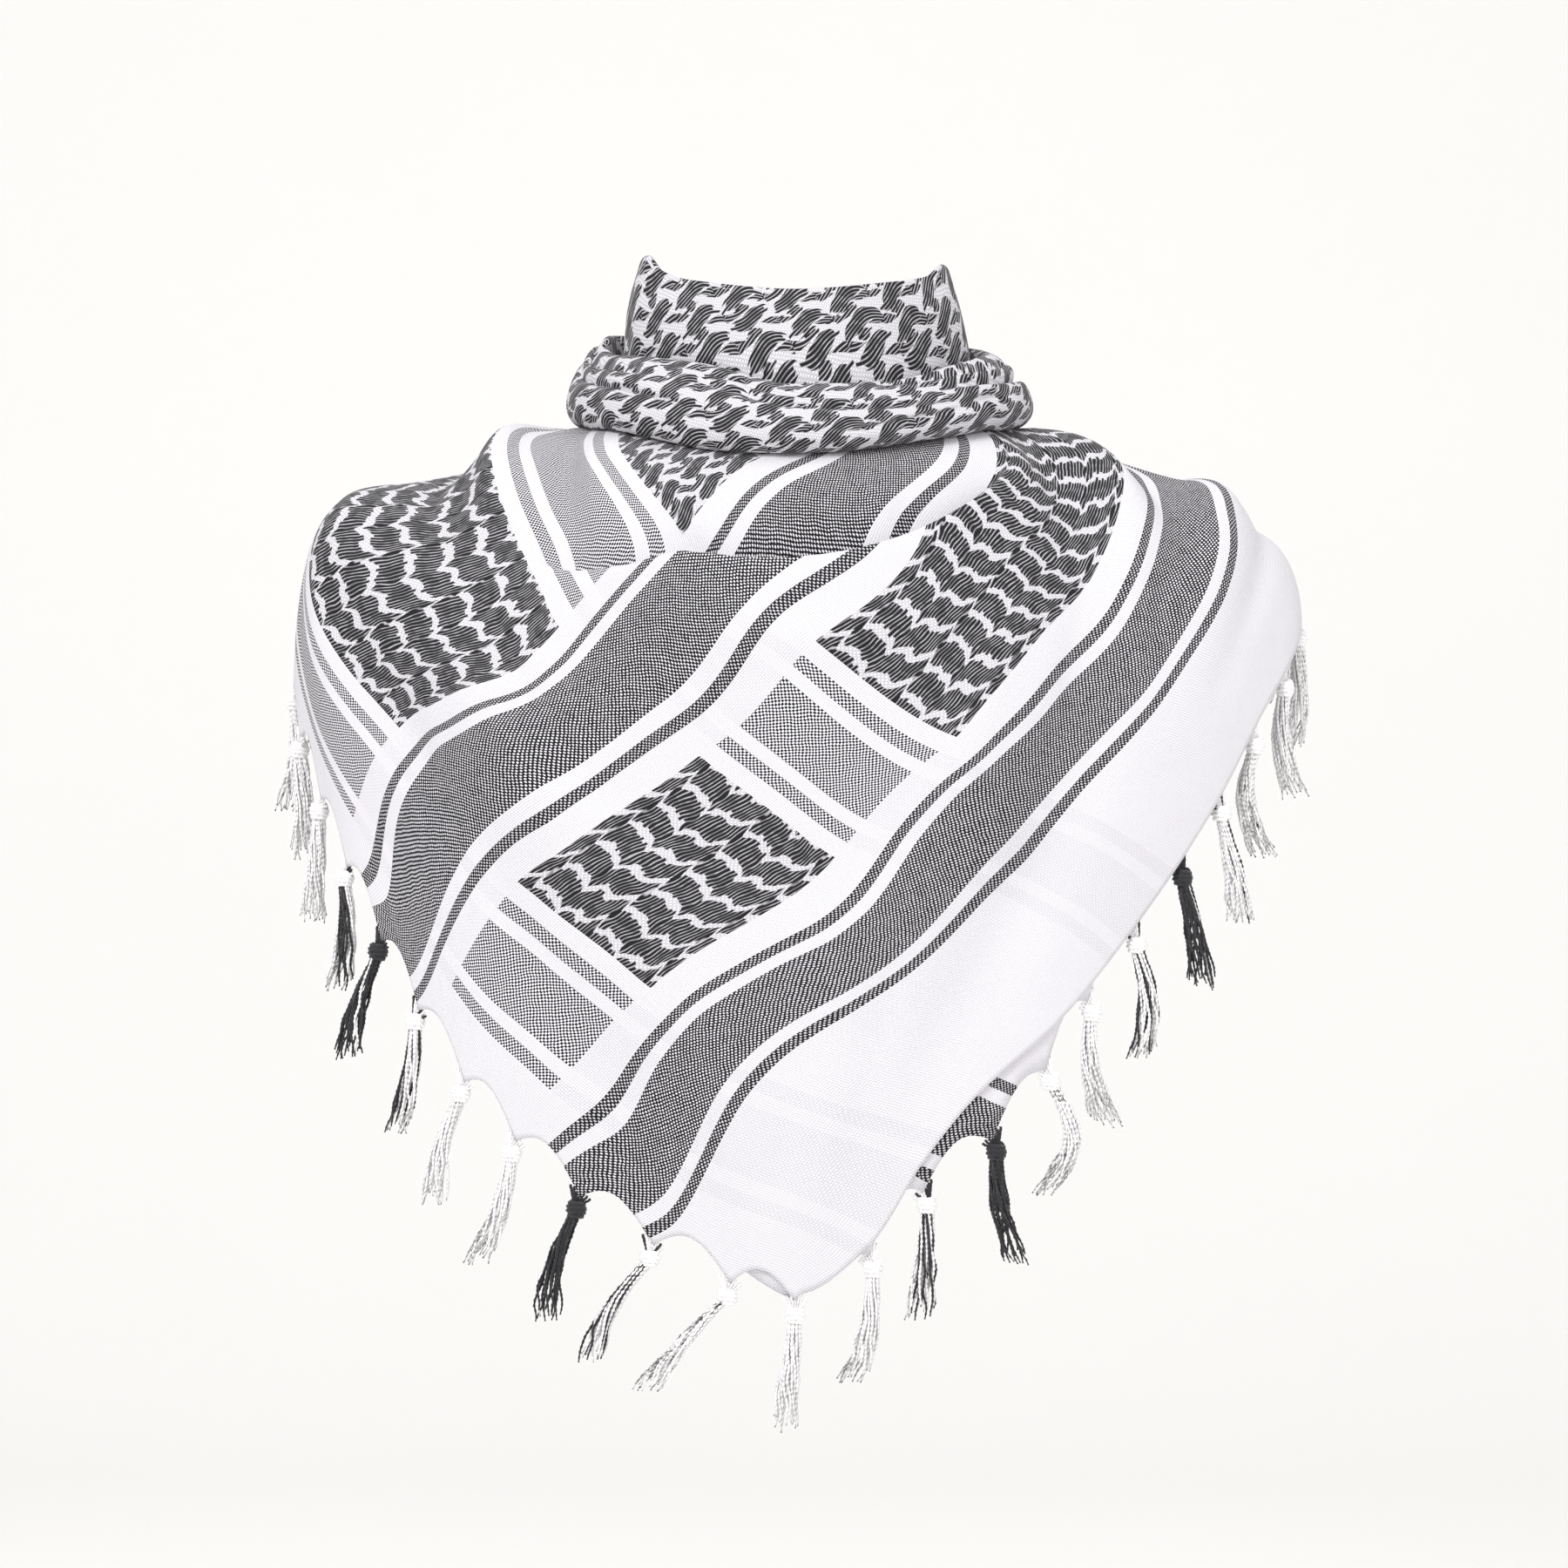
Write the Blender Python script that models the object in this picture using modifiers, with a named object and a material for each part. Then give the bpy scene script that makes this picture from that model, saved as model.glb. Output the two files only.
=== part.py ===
"""Square woven headscarf with tasselled ends, folded corner to corner and worn as a neck wrap.

The folded square hangs as a two-layer bib with its corner in front, its wings lie over the
shoulders and meet at the nape, and the rest is wound round the neck as a roll and a standing
collar. Metres, +Z up, the wearer faces -Y and +X is on the right of someone looking at the bib.
The origin is the middle of the neck, at the height where the cloth lies on the shoulders.
"""

import math
from collections import namedtuple

import bmesh
import bpy
from mathutils import Vector

# Cloth sizes
CLOTH_THICKNESS = 0.0012
LAYER_STEP = 0.0021
LEFT_FIRST_PITCH = 0.029
RIGHT_FIRST_PITCH = 0.037
TASSEL_PITCH = 0.0385
SCALLOP_DEPTH = 0.009
SELVAGE_RISE = 0.25
UNDER_RISE = 1.15
EDGE_STEP = 0.5
LAST_KNOT_BEARING = 172.0
UNDER_RISE_BEARING = 8.0
SHORT_WING_RISE = 0.035
CREST_LIMIT = 0.55
LEVEL_SPACING = 0.052
COLUMN_PITCH = 12.0

# Tassel sizes
STRANDS = 5
STRAND_STEPS = 3
TASSEL_LENGTH = 0.060
KNOT_RADIUS = 0.0042
KNOT_HEIGHT = 0.0085
STRAND_SPREAD = 0.0050
STRAND_TAPER = 0.92
STRAND_INSET = 0.00035
STRAND_SHORTER = 0.05
STRAND_ROOT_SPREAD = 0.62
CONTACT_DEPTH = 0.0004
# The hidden tassels hang nearly straight
HIDDEN_SIDEWAYS = 0.06
HIDDEN_CURL = 0.04
SEAM_GAP = 0.0003
KnotRing = namedtuple("KnotRing", "share height")
KNOT_RINGS = (KnotRing(0.55, 0.0), KnotRing(1.0, -0.45), KnotRing(0.75, -1.0))

# The body that the cloth lies on, as rings from the neck down to the bib's corner
Ring = namedtuple("Ring", "name half_width front back front_z side_z back_z")
RINGS = (
    Ring("neck edge", 0.082, 0.0768, 0.077, -0.0150, -0.0020, 0.0000),
    Ring("roll edge", 0.109, 0.0975, 0.094, -0.0300, -0.0060, -0.0080),
    Ring("collarbone", 0.136, 0.113, 0.104, -0.0640, -0.0150, -0.0220),
    Ring("shoulder slope", 0.166, 0.126, 0.112, -0.1080, -0.0270, -0.0450),
    Ring("shoulder", 0.198, 0.136, 0.117, -0.1600, -0.0370, -0.0780),
    Ring("shoulder cap", 0.223, 0.141, 0.117, -0.2150, -0.0540, -0.1120),
    Ring("arm top", 0.233, 0.143, 0.114, -0.2720, -0.0880, -0.1560),
    Ring("arm", 0.236, 0.142, 0.110, -0.3350, -0.1480, -0.2130),
    Ring("corner", 0.236, 0.137, 0.106, -0.4020, -0.2200, -0.2750),
    Ring("below", 0.236, 0.131, 0.102, -0.4700, -0.2920, -0.3400),
)

# Height of the bib's edge at bearings round the body: 0 is the front, negative the left
Edge = namedtuple("Edge", "bearing z")
HEM = (
    Edge(-180, -0.013),
    Edge(-155, -0.024),
    Edge(-130, -0.052),
    Edge(-108, -0.090),
    Edge(-90, -0.126),
    Edge(-73, -0.160),
    Edge(-60, -0.208),
    Edge(-48, -0.265),
    Edge(-36, -0.318),
    Edge(-24, -0.356),
    Edge(-12, -0.384),
    Edge(0, -0.401),
    Edge(8, -0.380),
    Edge(14, -0.343),
    Edge(20, -0.314),
    Edge(30, -0.281),
    Edge(42, -0.233),
    Edge(54, -0.186),
    Edge(66, -0.141),
    Edge(78, -0.111),
    Edge(90, -0.088),
    Edge(110, -0.062),
    Edge(135, -0.037),
    Edge(158, -0.020),
    Edge(180, -0.013),
)
# The under layer hangs lower than the top one at the right of the corner
DROOP_BEARING = 22.0
DROOP_WIDTH = 9.0
DROOP_DEPTH = 0.024

# The swag fold across the chest: level of its crest, and how strong it is there
Swag = namedtuple("Swag", "bearing level strength")
SWAG = (
    Swag(-180, 0.50, 0.0),
    Swag(-110, 1.60, 0.0),
    Swag(-66, 2.90, 0.0),
    Swag(-52, 3.05, 0.08),
    Swag(-40, 3.00, 0.38),
    Swag(-29, 2.80, 0.8),
    Swag(-18, 2.50, 1.0),
    Swag(0, 2.42, 1.0),
    Swag(21, 2.32, 1.0),
    Swag(34, 2.10, 0.9),
    Swag(48, 1.70, 0.6),
    Swag(62, 1.35, 0.22),
    Swag(80, 1.20, 0.0),
    Swag(180, 0.50, 0.0),
)
SWAG_HEIGHT = 0.015
SWAG_OVERLAP = 0.14
SWAG_ROW = 3
# Stations above the crest, as shares of its level
NECK_SHARES = (0.0, 0.34, 0.68, 1.0)
# Stations below the crest, as shares of the way to the hem, and how much of the swag is left there
HEM_SHARES = (0.09, 0.20, 0.31, 0.43, 0.56, 0.69, 0.81, 0.92)
SWAG_LIFTS = (0.94, 0.62, 0.30, 0.10, 0.0, 0.0, 0.0, 0.0)

# Soft folds: a line from start to end, by bearing and ring level; a trough has a minus height.
# At its ends a fold keeps FOLD_END_SHARE of its height.
FOLD_END_SHARE = 0.35
Fold = namedtuple("Fold", "name start_bearing start_level end_bearing end_level width height")
FOLDS = (
    Fold("left neck ridge", -98, 1.2, -58, 2.9, 0.014, 0.010),
    Fold("left neck trough", -70, 0.9, -40, 2.8, 0.013, -0.007),
    Fold("left slope trough", -104, 2.1, -60, 3.8, 0.013, -0.005),
    Fold("left shoulder ridge", -112, 3.4, -54, 5.2, 0.022, 0.005),
    Fold("left breast ridge", -58, 4.0, -16, 5.6, 0.028, 0.007),
    Fold("left breast trough", -62, 5.2, -22, 6.8, 0.022, -0.005),
    Fold("left arm ridge", -84, 4.4, -58, 7.0, 0.022, 0.005),
    Fold("middle ridge", 34, 3.6, -8, 6.6, 0.026, 0.007),
    Fold("middle trough", 40, 4.6, 8, 7.2, 0.020, -0.005),
    Fold("right neck trough", 72, 0.9, 50, 3.0, 0.013, -0.006),
    Fold("right neck ridge", 88, 1.25, 56, 3.8, 0.015, 0.008),
    Fold("right shoulder ridge", 118, 3.2, 62, 4.6, 0.019, 0.007),
    Fold("right shoulder trough", 112, 4.2, 60, 5.6, 0.016, -0.004),
    Fold("right arm ridge", 108, 5.0, 58, 7.2, 0.022, 0.005),
    Fold("corner ridge", 6, 6.2, -2, 8.2, 0.022, 0.005),
    Fold("left blade ridge", -156, 0.9, -122, 3.6, 0.022, 0.006),
    Fold("left blade trough", -140, 1.0, -104, 3.8, 0.018, -0.004),
    Fold("right blade ridge", 152, 0.9, 120, 3.4, 0.022, 0.006),
    Fold("right blade trough", 136, 1.0, 102, 3.6, 0.018, -0.004),
)

# The roll wound round the neck, lying on the bib: how far out it reaches, its inner side and top
Roll = namedtuple("Roll", "bearing reach inner top_z")
ROLL = (
    Roll(-180, 0.0960, 0.0765, 0.036),
    Roll(-150, 0.0980, 0.0775, 0.039),
    Roll(-120, 0.1040, 0.0815, 0.042),
    Roll(-98, 0.1080, 0.0840, 0.040),
    Roll(-80, 0.1075, 0.0835, 0.029),
    Roll(-60, 0.1035, 0.0820, 0.026),
    Roll(-30, 0.1000, 0.0790, 0.020),
    Roll(0, 0.0990, 0.0770, 0.010),
    Roll(30, 0.1010, 0.0780, 0.012),
    Roll(60, 0.1070, 0.0815, 0.022),
    Roll(90, 0.1130, 0.0855, 0.031),
    Roll(120, 0.1060, 0.0820, 0.037),
    Roll(150, 0.0990, 0.0780, 0.038),
    Roll(180, 0.0960, 0.0765, 0.036),
)
# Section of the roll: across is 0 at its inner side and 1 at its outer, up is 0 to 1
Section = namedtuple("Section", "across up")
ROLL_SECTION = (
    Section(0.32, 0.11),
    Section(0.60, 0.00),
    Section(0.88, 0.12),
    Section(1.00, 0.40),
    Section(0.87, 0.69),
    Section(0.58, 0.91),
    Section(0.26, 1.00),
    Section(0.07, 0.80),
    Section(0.05, 0.42),
)
ROLL_COLUMNS = 44
ROLL_SEAT = 0.0006

# The standing collar: a strip folded over at its rim
Collar = namedtuple("Collar", "bearing rim_z rim_reach waist_reach flare_reach")
COLLAR = (
    Collar(-180, 0.0600, 0.0700, 0.0720, 0.0745),
    Collar(-130, 0.0620, 0.0715, 0.0740, 0.0765),
    Collar(-98, 0.0680, 0.0735, 0.0775, 0.0800),
    Collar(-86, 0.0730, 0.0738, 0.0785, 0.0805),
    Collar(-73, 0.0745, 0.0735, 0.0780, 0.0800),
    Collar(-60, 0.0660, 0.0725, 0.0765, 0.0785),
    Collar(-42, 0.0600, 0.0715, 0.0745, 0.0765),
    Collar(0, 0.0545, 0.0700, 0.0720, 0.0745),
    Collar(42, 0.0595, 0.0715, 0.0745, 0.0760),
    Collar(60, 0.0635, 0.0725, 0.0765, 0.0780),
    Collar(74, 0.0705, 0.0735, 0.0780, 0.0805),
    Collar(90, 0.0685, 0.0740, 0.0785, 0.0825),
    Collar(104, 0.0650, 0.0735, 0.0775, 0.0805),
    Collar(135, 0.0620, 0.0715, 0.0740, 0.0765),
    Collar(180, 0.0600, 0.0700, 0.0720, 0.0745),
)
COLLAR_INNER_Z = 0.020
COLLAR_FLARE_Z = 0.029
COLLAR_WAIST_Z = 0.046
COLLAR_FOLD = 0.0034
COLLAR_SHOULDER = 0.010
COLLAR_INNER_DROP = 0.005
COLLAR_OUTER_DROP = 0.004
COLLAR_HOLLOW_DROP = 0.008
COLLAR_SEAT_SHARE = 0.55
COLLAR_SEAT = 0.0006
COLLAR_COLUMNS = 40

# How each front tassel hangs, from the corner out, as shares of its length: sideways at its end,
# and how far it curls to the side half way down
Lean = namedtuple("Lean", "sideways curl")
CORNER_LEAN = Lean(-0.10, 0.00)
LEFT_LEANS = (
    Lean(-0.72, -0.04),
    Lean(-0.52, -0.10),
    Lean(-0.26, -0.06),
    Lean(-0.32, 0.05),
    Lean(-0.24, -0.05),
    Lean(-0.18, 0.04),
    Lean(-0.28, -0.05),
    Lean(-0.08, 0.05),
    Lean(-0.05, 0.00),
    Lean(0.02, 0.03),
)
RIGHT_LEANS = (
    Lean(-0.20, 0.06),
    Lean(-0.08, 0.02),
    Lean(0.18, -0.05),
    Lean(-0.08, 0.22),
    Lean(0.15, -0.08),
    Lean(0.02, 0.09),
    Lean(0.18, 0.02),
    Lean(0.16, 0.03),
    Lean(0.08, -0.12),
    Lean(0.10, -0.08),
)

WHITE_COTTON = (0.86, 0.84, 0.87, 1.0)
GREY_COTTON = (0.42, 0.41, 0.44, 1.0)
BLACK_COTTON = (0.03, 0.03, 0.035, 1.0)
COTTON_ROUGHNESS = 0.9


def clear_scene():
    for item in list(bpy.data.objects):
        bpy.data.objects.remove(item, do_unlink=True)


def cotton(name, colour):
    material = bpy.data.materials.new(name)
    material.use_nodes = True
    shader = material.node_tree.nodes["Principled BSDF"]
    shader.inputs["Base Color"].default_value = colour
    shader.inputs["Roughness"].default_value = COTTON_ROUGHNESS
    shader.inputs["Metallic"].default_value = 0.0
    return material


def hermite(a, b, slope_a, slope_b, t):
    return (
        a * (2 * t**3 - 3 * t**2 + 1)
        + slope_a * (t**3 - 2 * t**2 + t)
        + b * (3 * t**2 - 2 * t**3)
        + slope_b * (t**3 - t**2)
    )


def smooth_value(places, values, at):
    """Reads a smooth curve through values, given at places in rising order."""
    last = len(places) - 1
    if at <= places[0]:
        return values[0]
    if at >= places[last]:
        return values[last]
    i = max(k for k in range(last) if places[k] <= at)

    def slope(k):
        if k in (0, last):
            return 0.0 if k == last else (values[1] - values[0]) / (places[1] - places[0])
        before = (values[k] - values[k - 1]) / (places[k] - places[k - 1])
        after = (values[k + 1] - values[k]) / (places[k + 1] - places[k])
        if before * after <= 0:
            return 0.0
        return 2 * before * after / (before + after)

    width = places[i + 1] - places[i]
    t = (at - places[i]) / width
    return hermite(values[i], values[i + 1], slope(i) * width, slope(i + 1) * width, t)


def at_bearing(rows, column, bearing):
    return smooth_value([row.bearing for row in rows], [getattr(row, column) for row in rows], bearing)


def ring_value(column, level):
    """Reads a column of RINGS between its rows, as a smooth curve."""
    last = len(RINGS) - 1
    i = min(int(max(level, 0)), last - 1)
    values = [getattr(RINGS[min(max(k, 0), last)], column) for k in (i - 1, i, i + 1, i + 2)]
    slope_a = (values[2] - values[0]) / (2 if i > 0 else 1)
    slope_b = (values[3] - values[1]) / (2 if i < last - 1 else 1)
    return hermite(values[1], values[2], slope_a, slope_b, max(level, 0) - i)


def body_point(bearing, level):
    """The place on the smooth body at a bearing in degrees and a ring level."""
    angle = math.radians(bearing)
    ahead = math.cos(angle)
    depth = ring_value("front" if ahead >= 0 else "back", level)
    middle_z = ring_value("front_z" if ahead >= 0 else "back_z", level)
    side_share = math.sin(angle) ** 2
    return Vector(
        (
            ring_value("half_width", level) * math.sin(angle),
            -depth * ahead,
            middle_z + (ring_value("side_z", level) - middle_z) * side_share,
        )
    )


def body_normal(bearing, level):
    """The direction out of the smooth body."""
    across = body_point(bearing + 1, level) - body_point(bearing - 1, level)
    down = body_point(bearing, level + 0.1) - body_point(bearing, max(level - 0.1, 0))
    return down.cross(across).normalized()


def fold_offset(bearing, level):
    """How far the soft folds lift the cloth off the smooth body."""
    radius = 0.5 * (ring_value("half_width", level) + ring_value("front", level))
    total = 0.0
    for fold in FOLDS:
        line_x = math.radians(fold.end_bearing - fold.start_bearing) * radius
        line_y = (fold.end_level - fold.start_level) * LEVEL_SPACING
        x = math.radians(bearing - fold.start_bearing) * radius
        y = (level - fold.start_level) * LEVEL_SPACING
        share = (x * line_x + y * line_y) / (line_x**2 + line_y**2)
        nearest = min(max(share, 0.0), 1.0)
        off_line = math.hypot(x - nearest * line_x, y - nearest * line_y)
        ends = FOLD_END_SHARE + (1.0 - FOLD_END_SHARE) * math.sin(math.pi * nearest)
        total += fold.height * ends * math.exp(-((off_line / fold.width) ** 2))
    return total


def lying_point(bearing, level, offset):
    """A place on the draped cloth, offset outwards from its soft folds."""
    lift = fold_offset(bearing, level) + offset
    return body_point(bearing, level) + body_normal(bearing, level) * lift


def under_point(bearing, level):
    """A place on the under layer, one step inside the top layer's folds."""
    across = lying_point(bearing + 1, level, 0.0) - lying_point(bearing - 1, level, 0.0)
    down = lying_point(bearing, level + 0.1, 0.0) - lying_point(bearing, max(level - 0.1, 0), 0.0)
    return lying_point(bearing, level, 0.0) - down.cross(across).normalized() * LAYER_STEP


def level_at_height(bearing, z):
    """The ring level where the body passes a height, found by halving."""
    low, high = 0.2, len(RINGS) - 1.0
    for _ in range(30):
        middle = 0.5 * (low + high)
        if body_point(bearing, middle).z > z:
            low = middle
        else:
            high = middle
    return low


def hem_level(bearing, droop=0.0):
    z = at_bearing(HEM, "z", bearing)
    z -= droop * math.exp(-(((bearing - DROOP_BEARING) / DROOP_WIDTH) ** 2))
    return level_at_height(bearing, z)


def tassel_bearings(side, droop, first_pitch):
    """Bearings of the knots along one edge, from the corner to the nape. side is -1 or 1."""
    found = []
    gone = 0.0
    bearing = 0.0
    here = lying_point(0.0, hem_level(0.0), 0.0)
    while bearing < LAST_KNOT_BEARING:
        bearing += EDGE_STEP
        there = lying_point(side * bearing, hem_level(side * bearing, droop), 0.0)
        gone += (there - here).length
        here = there
        if gone >= first_pitch + TASSEL_PITCH * len(found):
            found.append(side * bearing)
    return found


def column_bearings(knots):
    """Bearings of the bib's columns: one at each knot and one half way between two."""
    stops = sorted(knots)
    columns = []
    for a, b in zip(stops, stops[1:] + [stops[0] + 360.0]):
        steps = max(2, round((b - a) / COLUMN_PITCH))
        columns += [a + (b - a) * k / steps for k in range(steps)]
    return [c if c <= 180.0 else c - 360.0 for c in columns]


def scallop(bearing, knots):
    """How far the fringed edge draws up between knots: 0 at a knot and 1 half way."""
    if bearing < knots[0] or bearing > knots[-1]:
        return 0.0
    for a, b in zip(knots, knots[1:]):
        if a <= bearing <= b:
            return math.sin(math.pi * (bearing - a) / (b - a))
    return 0.0


def edge_rise(end_level, share):
    """How far an edge draws up, in ring levels; less where the wing is short."""
    return share * min(SCALLOP_DEPTH / LEVEL_SPACING, SHORT_WING_RISE * end_level)


def drape_levels(bearing):
    """The stations both layers share, from the neck to just above the hem."""
    end_level = hem_level(bearing)
    crest = min(at_bearing(SWAG, "level", bearing), CREST_LIMIT * end_level)
    above = [share * crest for share in NECK_SHARES]
    return above + [crest + share * (end_level - crest) for share in HEM_SHARES]


def top_layer_rows(columns, knots):
    """Rows of points of the top layer: it doubles over itself at the swag; its left edge is fringed."""
    stations = []
    for bearing in columns:
        levels = drape_levels(bearing)
        strength = at_bearing(SWAG, "strength", bearing)
        lap = SWAG_OVERLAP * strength
        lift = SWAG_HEIGHT * strength
        crest = levels[SWAG_ROW]
        rest = 0.5 * (levels[SWAG_ROW + 1] - crest) * (1 - strength)
        pairs = [(level, 0.0) for level in levels[:SWAG_ROW]]
        pairs += [(crest + lap - rest, 0.0), (crest - lap + rest, lift)]
        for level, share in zip(levels[SWAG_ROW + 1 :], SWAG_LIFTS):
            pairs.append((level, share * lift))
        full = hem_level(bearing)
        end = full - edge_rise(full, scallop(bearing, knots))
        if bearing > 0:
            end = full - edge_rise(full, SELVAGE_RISE)
        pairs.append((end, 0.0))
        stations.append([lying_point(bearing, *pair) for pair in pairs])
    return [list(row) for row in zip(*stations)]


def under_layer_rows(columns, knots):
    """Rows of points of the under layer, whose right edge is fringed."""
    stations = []
    for bearing in columns:
        full = hem_level(bearing, DROOP_DEPTH if bearing >= 0 else 0.0)
        end = full - edge_rise(full, scallop(bearing, knots))
        if bearing < 0:
            end = full - edge_rise(full, min(UNDER_RISE, -bearing / UNDER_RISE_BEARING))
        levels = drape_levels(bearing) + [end]
        stations.append([under_point(bearing, level) for level in levels])
    return [list(row) for row in zip(*stations)]


def link(name, mesh, material, collection):
    item = bpy.data.objects.new(name, mesh)
    item.data.materials.append(material)
    collection.objects.link(item)
    return item


def cloth_wall(name, rows, material, collection):
    """A wall of cloth through closed rows of points, given from the top down or outside in."""
    columns = len(rows[0])
    points = [point for row in rows for point in row]
    faces = []
    for r in range(len(rows) - 1):
        for c in range(columns):
            d = (c + 1) % columns
            faces.append((r * columns + c, (r + 1) * columns + c, (r + 1) * columns + d, r * columns + d))
    mesh = bpy.data.meshes.new(name)
    mesh.from_pydata(points, [], faces)
    mesh.shade_smooth()
    item = link(name, mesh, material, collection)
    wall = item.modifiers.new("Wall", "SOLIDIFY")
    wall.thickness = CLOTH_THICKNESS
    wall.offset = -1.0
    wall.use_even_offset = False
    return item


def ring_point(bearing, reach, z):
    angle = math.radians(bearing)
    return Vector((reach * math.sin(angle), -reach * math.cos(angle), z))


def around(count):
    return [-180.0 + 360.0 * k / count for k in range(count)]


def rest_height(bearing, reach):
    """Height of the bib's outer face at a distance from the neck's middle."""
    low, high = 0.0, 2.0
    for _ in range(24):
        middle = 0.5 * (low + high)
        place = lying_point(bearing, middle, 0.0)
        if math.hypot(place.x, place.y) < reach:
            low = middle
        else:
            high = middle
    return lying_point(bearing, low, 0.0).z


def neck_roll(material, collection):
    columns = []
    for bearing in around(ROLL_COLUMNS):
        inner = at_bearing(ROLL, "inner", bearing)
        width = at_bearing(ROLL, "reach", bearing) - inner
        top = at_bearing(ROLL, "top_z", bearing)
        bottom = -1.0
        for station in ROLL_SECTION[:3]:
            rest = rest_height(bearing, inner + width * station.across) + ROLL_SEAT
            bottom = max(bottom, (rest - station.up * top) / (1.0 - station.up))
        columns.append(
            [
                ring_point(bearing, inner + width * station.across, bottom + (top - bottom) * station.up)
                for station in reversed(ROLL_SECTION)
            ]
        )
    return cloth_wall("neck_roll", [list(row) for row in zip(*columns)], material, collection)


def collar_stations(bearing):
    """The collar's wall at a bearing, from its inner lower edge over the rim to its foot."""
    rim = at_bearing(COLLAR, "rim_reach", bearing)
    waist = at_bearing(COLLAR, "waist_reach", bearing)
    flare = at_bearing(COLLAR, "flare_reach", bearing)
    top = at_bearing(COLLAR, "rim_z", bearing)
    stations = (
        (waist - COLLAR_FOLD, COLLAR_INNER_Z),
        (waist - COLLAR_FOLD, COLLAR_WAIST_Z - COLLAR_SHOULDER),
        (rim - COLLAR_FOLD, top - COLLAR_INNER_DROP),
        (rim - 0.5 * COLLAR_FOLD, top),
        (rim, top - COLLAR_OUTER_DROP),
        (waist, 0.5 * (top + COLLAR_WAIST_Z) - COLLAR_HOLLOW_DROP),
        (flare, COLLAR_FLARE_Z),
    )
    points = [ring_point(bearing, reach, z) for reach, z in stations]
    seat = body_point(bearing, 0.0) + Vector((0.0, 0.0, COLLAR_SEAT))
    return points + [points[-1].lerp(seat, COLLAR_SEAT_SHARE), seat]


def neck_collar(material, collection):
    bearings = around(COLLAR_COLUMNS)
    columns = [collar_stations(bearing) for bearing in bearings]
    return cloth_wall("neck_collar", [list(row) for row in zip(*columns)], material, collection)


def knot_ring(ring):
    """Corners of one ring of a knot, in the tassel's own frame."""
    radius = KNOT_RADIUS * ring.share
    angles = [2 * math.pi * k / STRANDS for k in range(STRANDS)]
    return [Vector((radius * math.cos(a), radius * math.sin(a), KNOT_HEIGHT * ring.height)) for a in angles]


def knot_contact(out):
    """The part of a knot that faces the cloth, when the cloth's edge points along out."""
    corners = [corner for ring in KNOT_RINGS for corner in knot_ring(ring)]
    furthest = max(-corner.dot(out) for corner in corners)
    facing = [corner for corner in corners if -corner.dot(out) > furthest - CONTACT_DEPTH]
    return sum(facing, Vector()) / len(facing)


def tassel_mesh(name, lean):
    """A knot with its strands, hanging from its own origin down."""
    mesh = bpy.data.meshes.new(name)
    build = bmesh.new()
    levels = [[build.verts.new(place) for place in knot_ring(ring)] for ring in KNOT_RINGS]
    for upper, lower in zip(levels, levels[1:]):
        for k in range(STRANDS):
            n = (k + 1) % STRANDS
            build.faces.new((upper[k], lower[k], lower[n], upper[n]))
    build.faces.new(levels[0])
    middle = build.verts.new((0.0, 0.0, -KNOT_HEIGHT))
    bottom = levels[-1]
    roots = [
        build.faces.new((middle, bottom[(k + 1) % STRANDS], bottom[k])) for k in range(STRANDS)
    ]
    build.normal_update()
    bmesh.ops.inset_individual(build, faces=roots, thickness=STRAND_INSET)
    longest = TASSEL_LENGTH - KNOT_HEIGHT
    for k, face in enumerate(roots):
        angle = 2 * math.pi * (k + 0.5) / STRANDS
        length = longest * (1.0 - STRAND_SHORTER * ((k * 2 + 1) % 3))
        for step in range(1, STRAND_STEPS + 1):
            share = step / STRAND_STEPS
            face = bmesh.ops.extrude_discrete_faces(build, faces=[face])["faces"][0]
            drop = length * share
            spread = STRAND_SPREAD * (STRAND_ROOT_SPREAD + (1.0 - STRAND_ROOT_SPREAD) * share)
            bend = lean.curl * longest * math.sin(math.pi * drop / longest)
            centre = Vector(
                (
                    spread * math.cos(angle) + lean.sideways * drop + bend,
                    spread * math.sin(angle),
                    -KNOT_HEIGHT - drop / math.hypot(1.0, lean.sideways),
                )
            )
            now = face.calc_center_median()
            for vert in face.verts:
                vert.co = centre + (vert.co - now) * STRAND_TAPER
    bmesh.ops.recalc_face_normals(build, faces=build.faces)
    build.to_mesh(mesh)
    build.free()
    return mesh


def yarn_of(order):
    """The yarn of a knot, by its place from the corner: the grey bands end in black yarn."""
    mixed = (2, 6, 8)
    black = (3, 7)
    if order in black:
        return "black yarn"
    return "mixed yarn" if order in mixed else "white yarn"


def lean_of(side, order):
    leans = LEFT_LEANS if side < 0 else RIGHT_LEANS
    if order == 0:
        return CORNER_LEAN
    if order <= len(leans):
        return leans[order - 1]
    return Lean(HIDDEN_SIDEWAYS * math.sin(2.1 * order), HIDDEN_CURL * math.cos(1.7 * order))


def tassel(name, side, order, bearing, edge, materials, collection):
    """A tassel whose knot hangs just off an edge, which is a function from a bearing to a point."""
    along = edge(bearing + 2) - edge(bearing - 2)
    level = level_at_height(bearing, edge(bearing).z)
    normal = body_normal(bearing, level)
    out = along.cross(normal).normalized()
    if out.dot(body_point(bearing, level + 0.2) - body_point(bearing, level)) < 0:
        out = -out
    item = link(name, tassel_mesh(name, lean_of(side, order)), materials[yarn_of(order)], collection)
    cloth_middle = edge(bearing) - normal * (0.5 * CLOTH_THICKNESS)
    item.location = cloth_middle + out * SEAM_GAP - knot_contact(out)
    return item


def top_edge(bearing):
    return lying_point(bearing, hem_level(bearing), 0.0)


def under_edge(bearing):
    return under_point(bearing, hem_level(bearing, DROOP_DEPTH))


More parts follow.
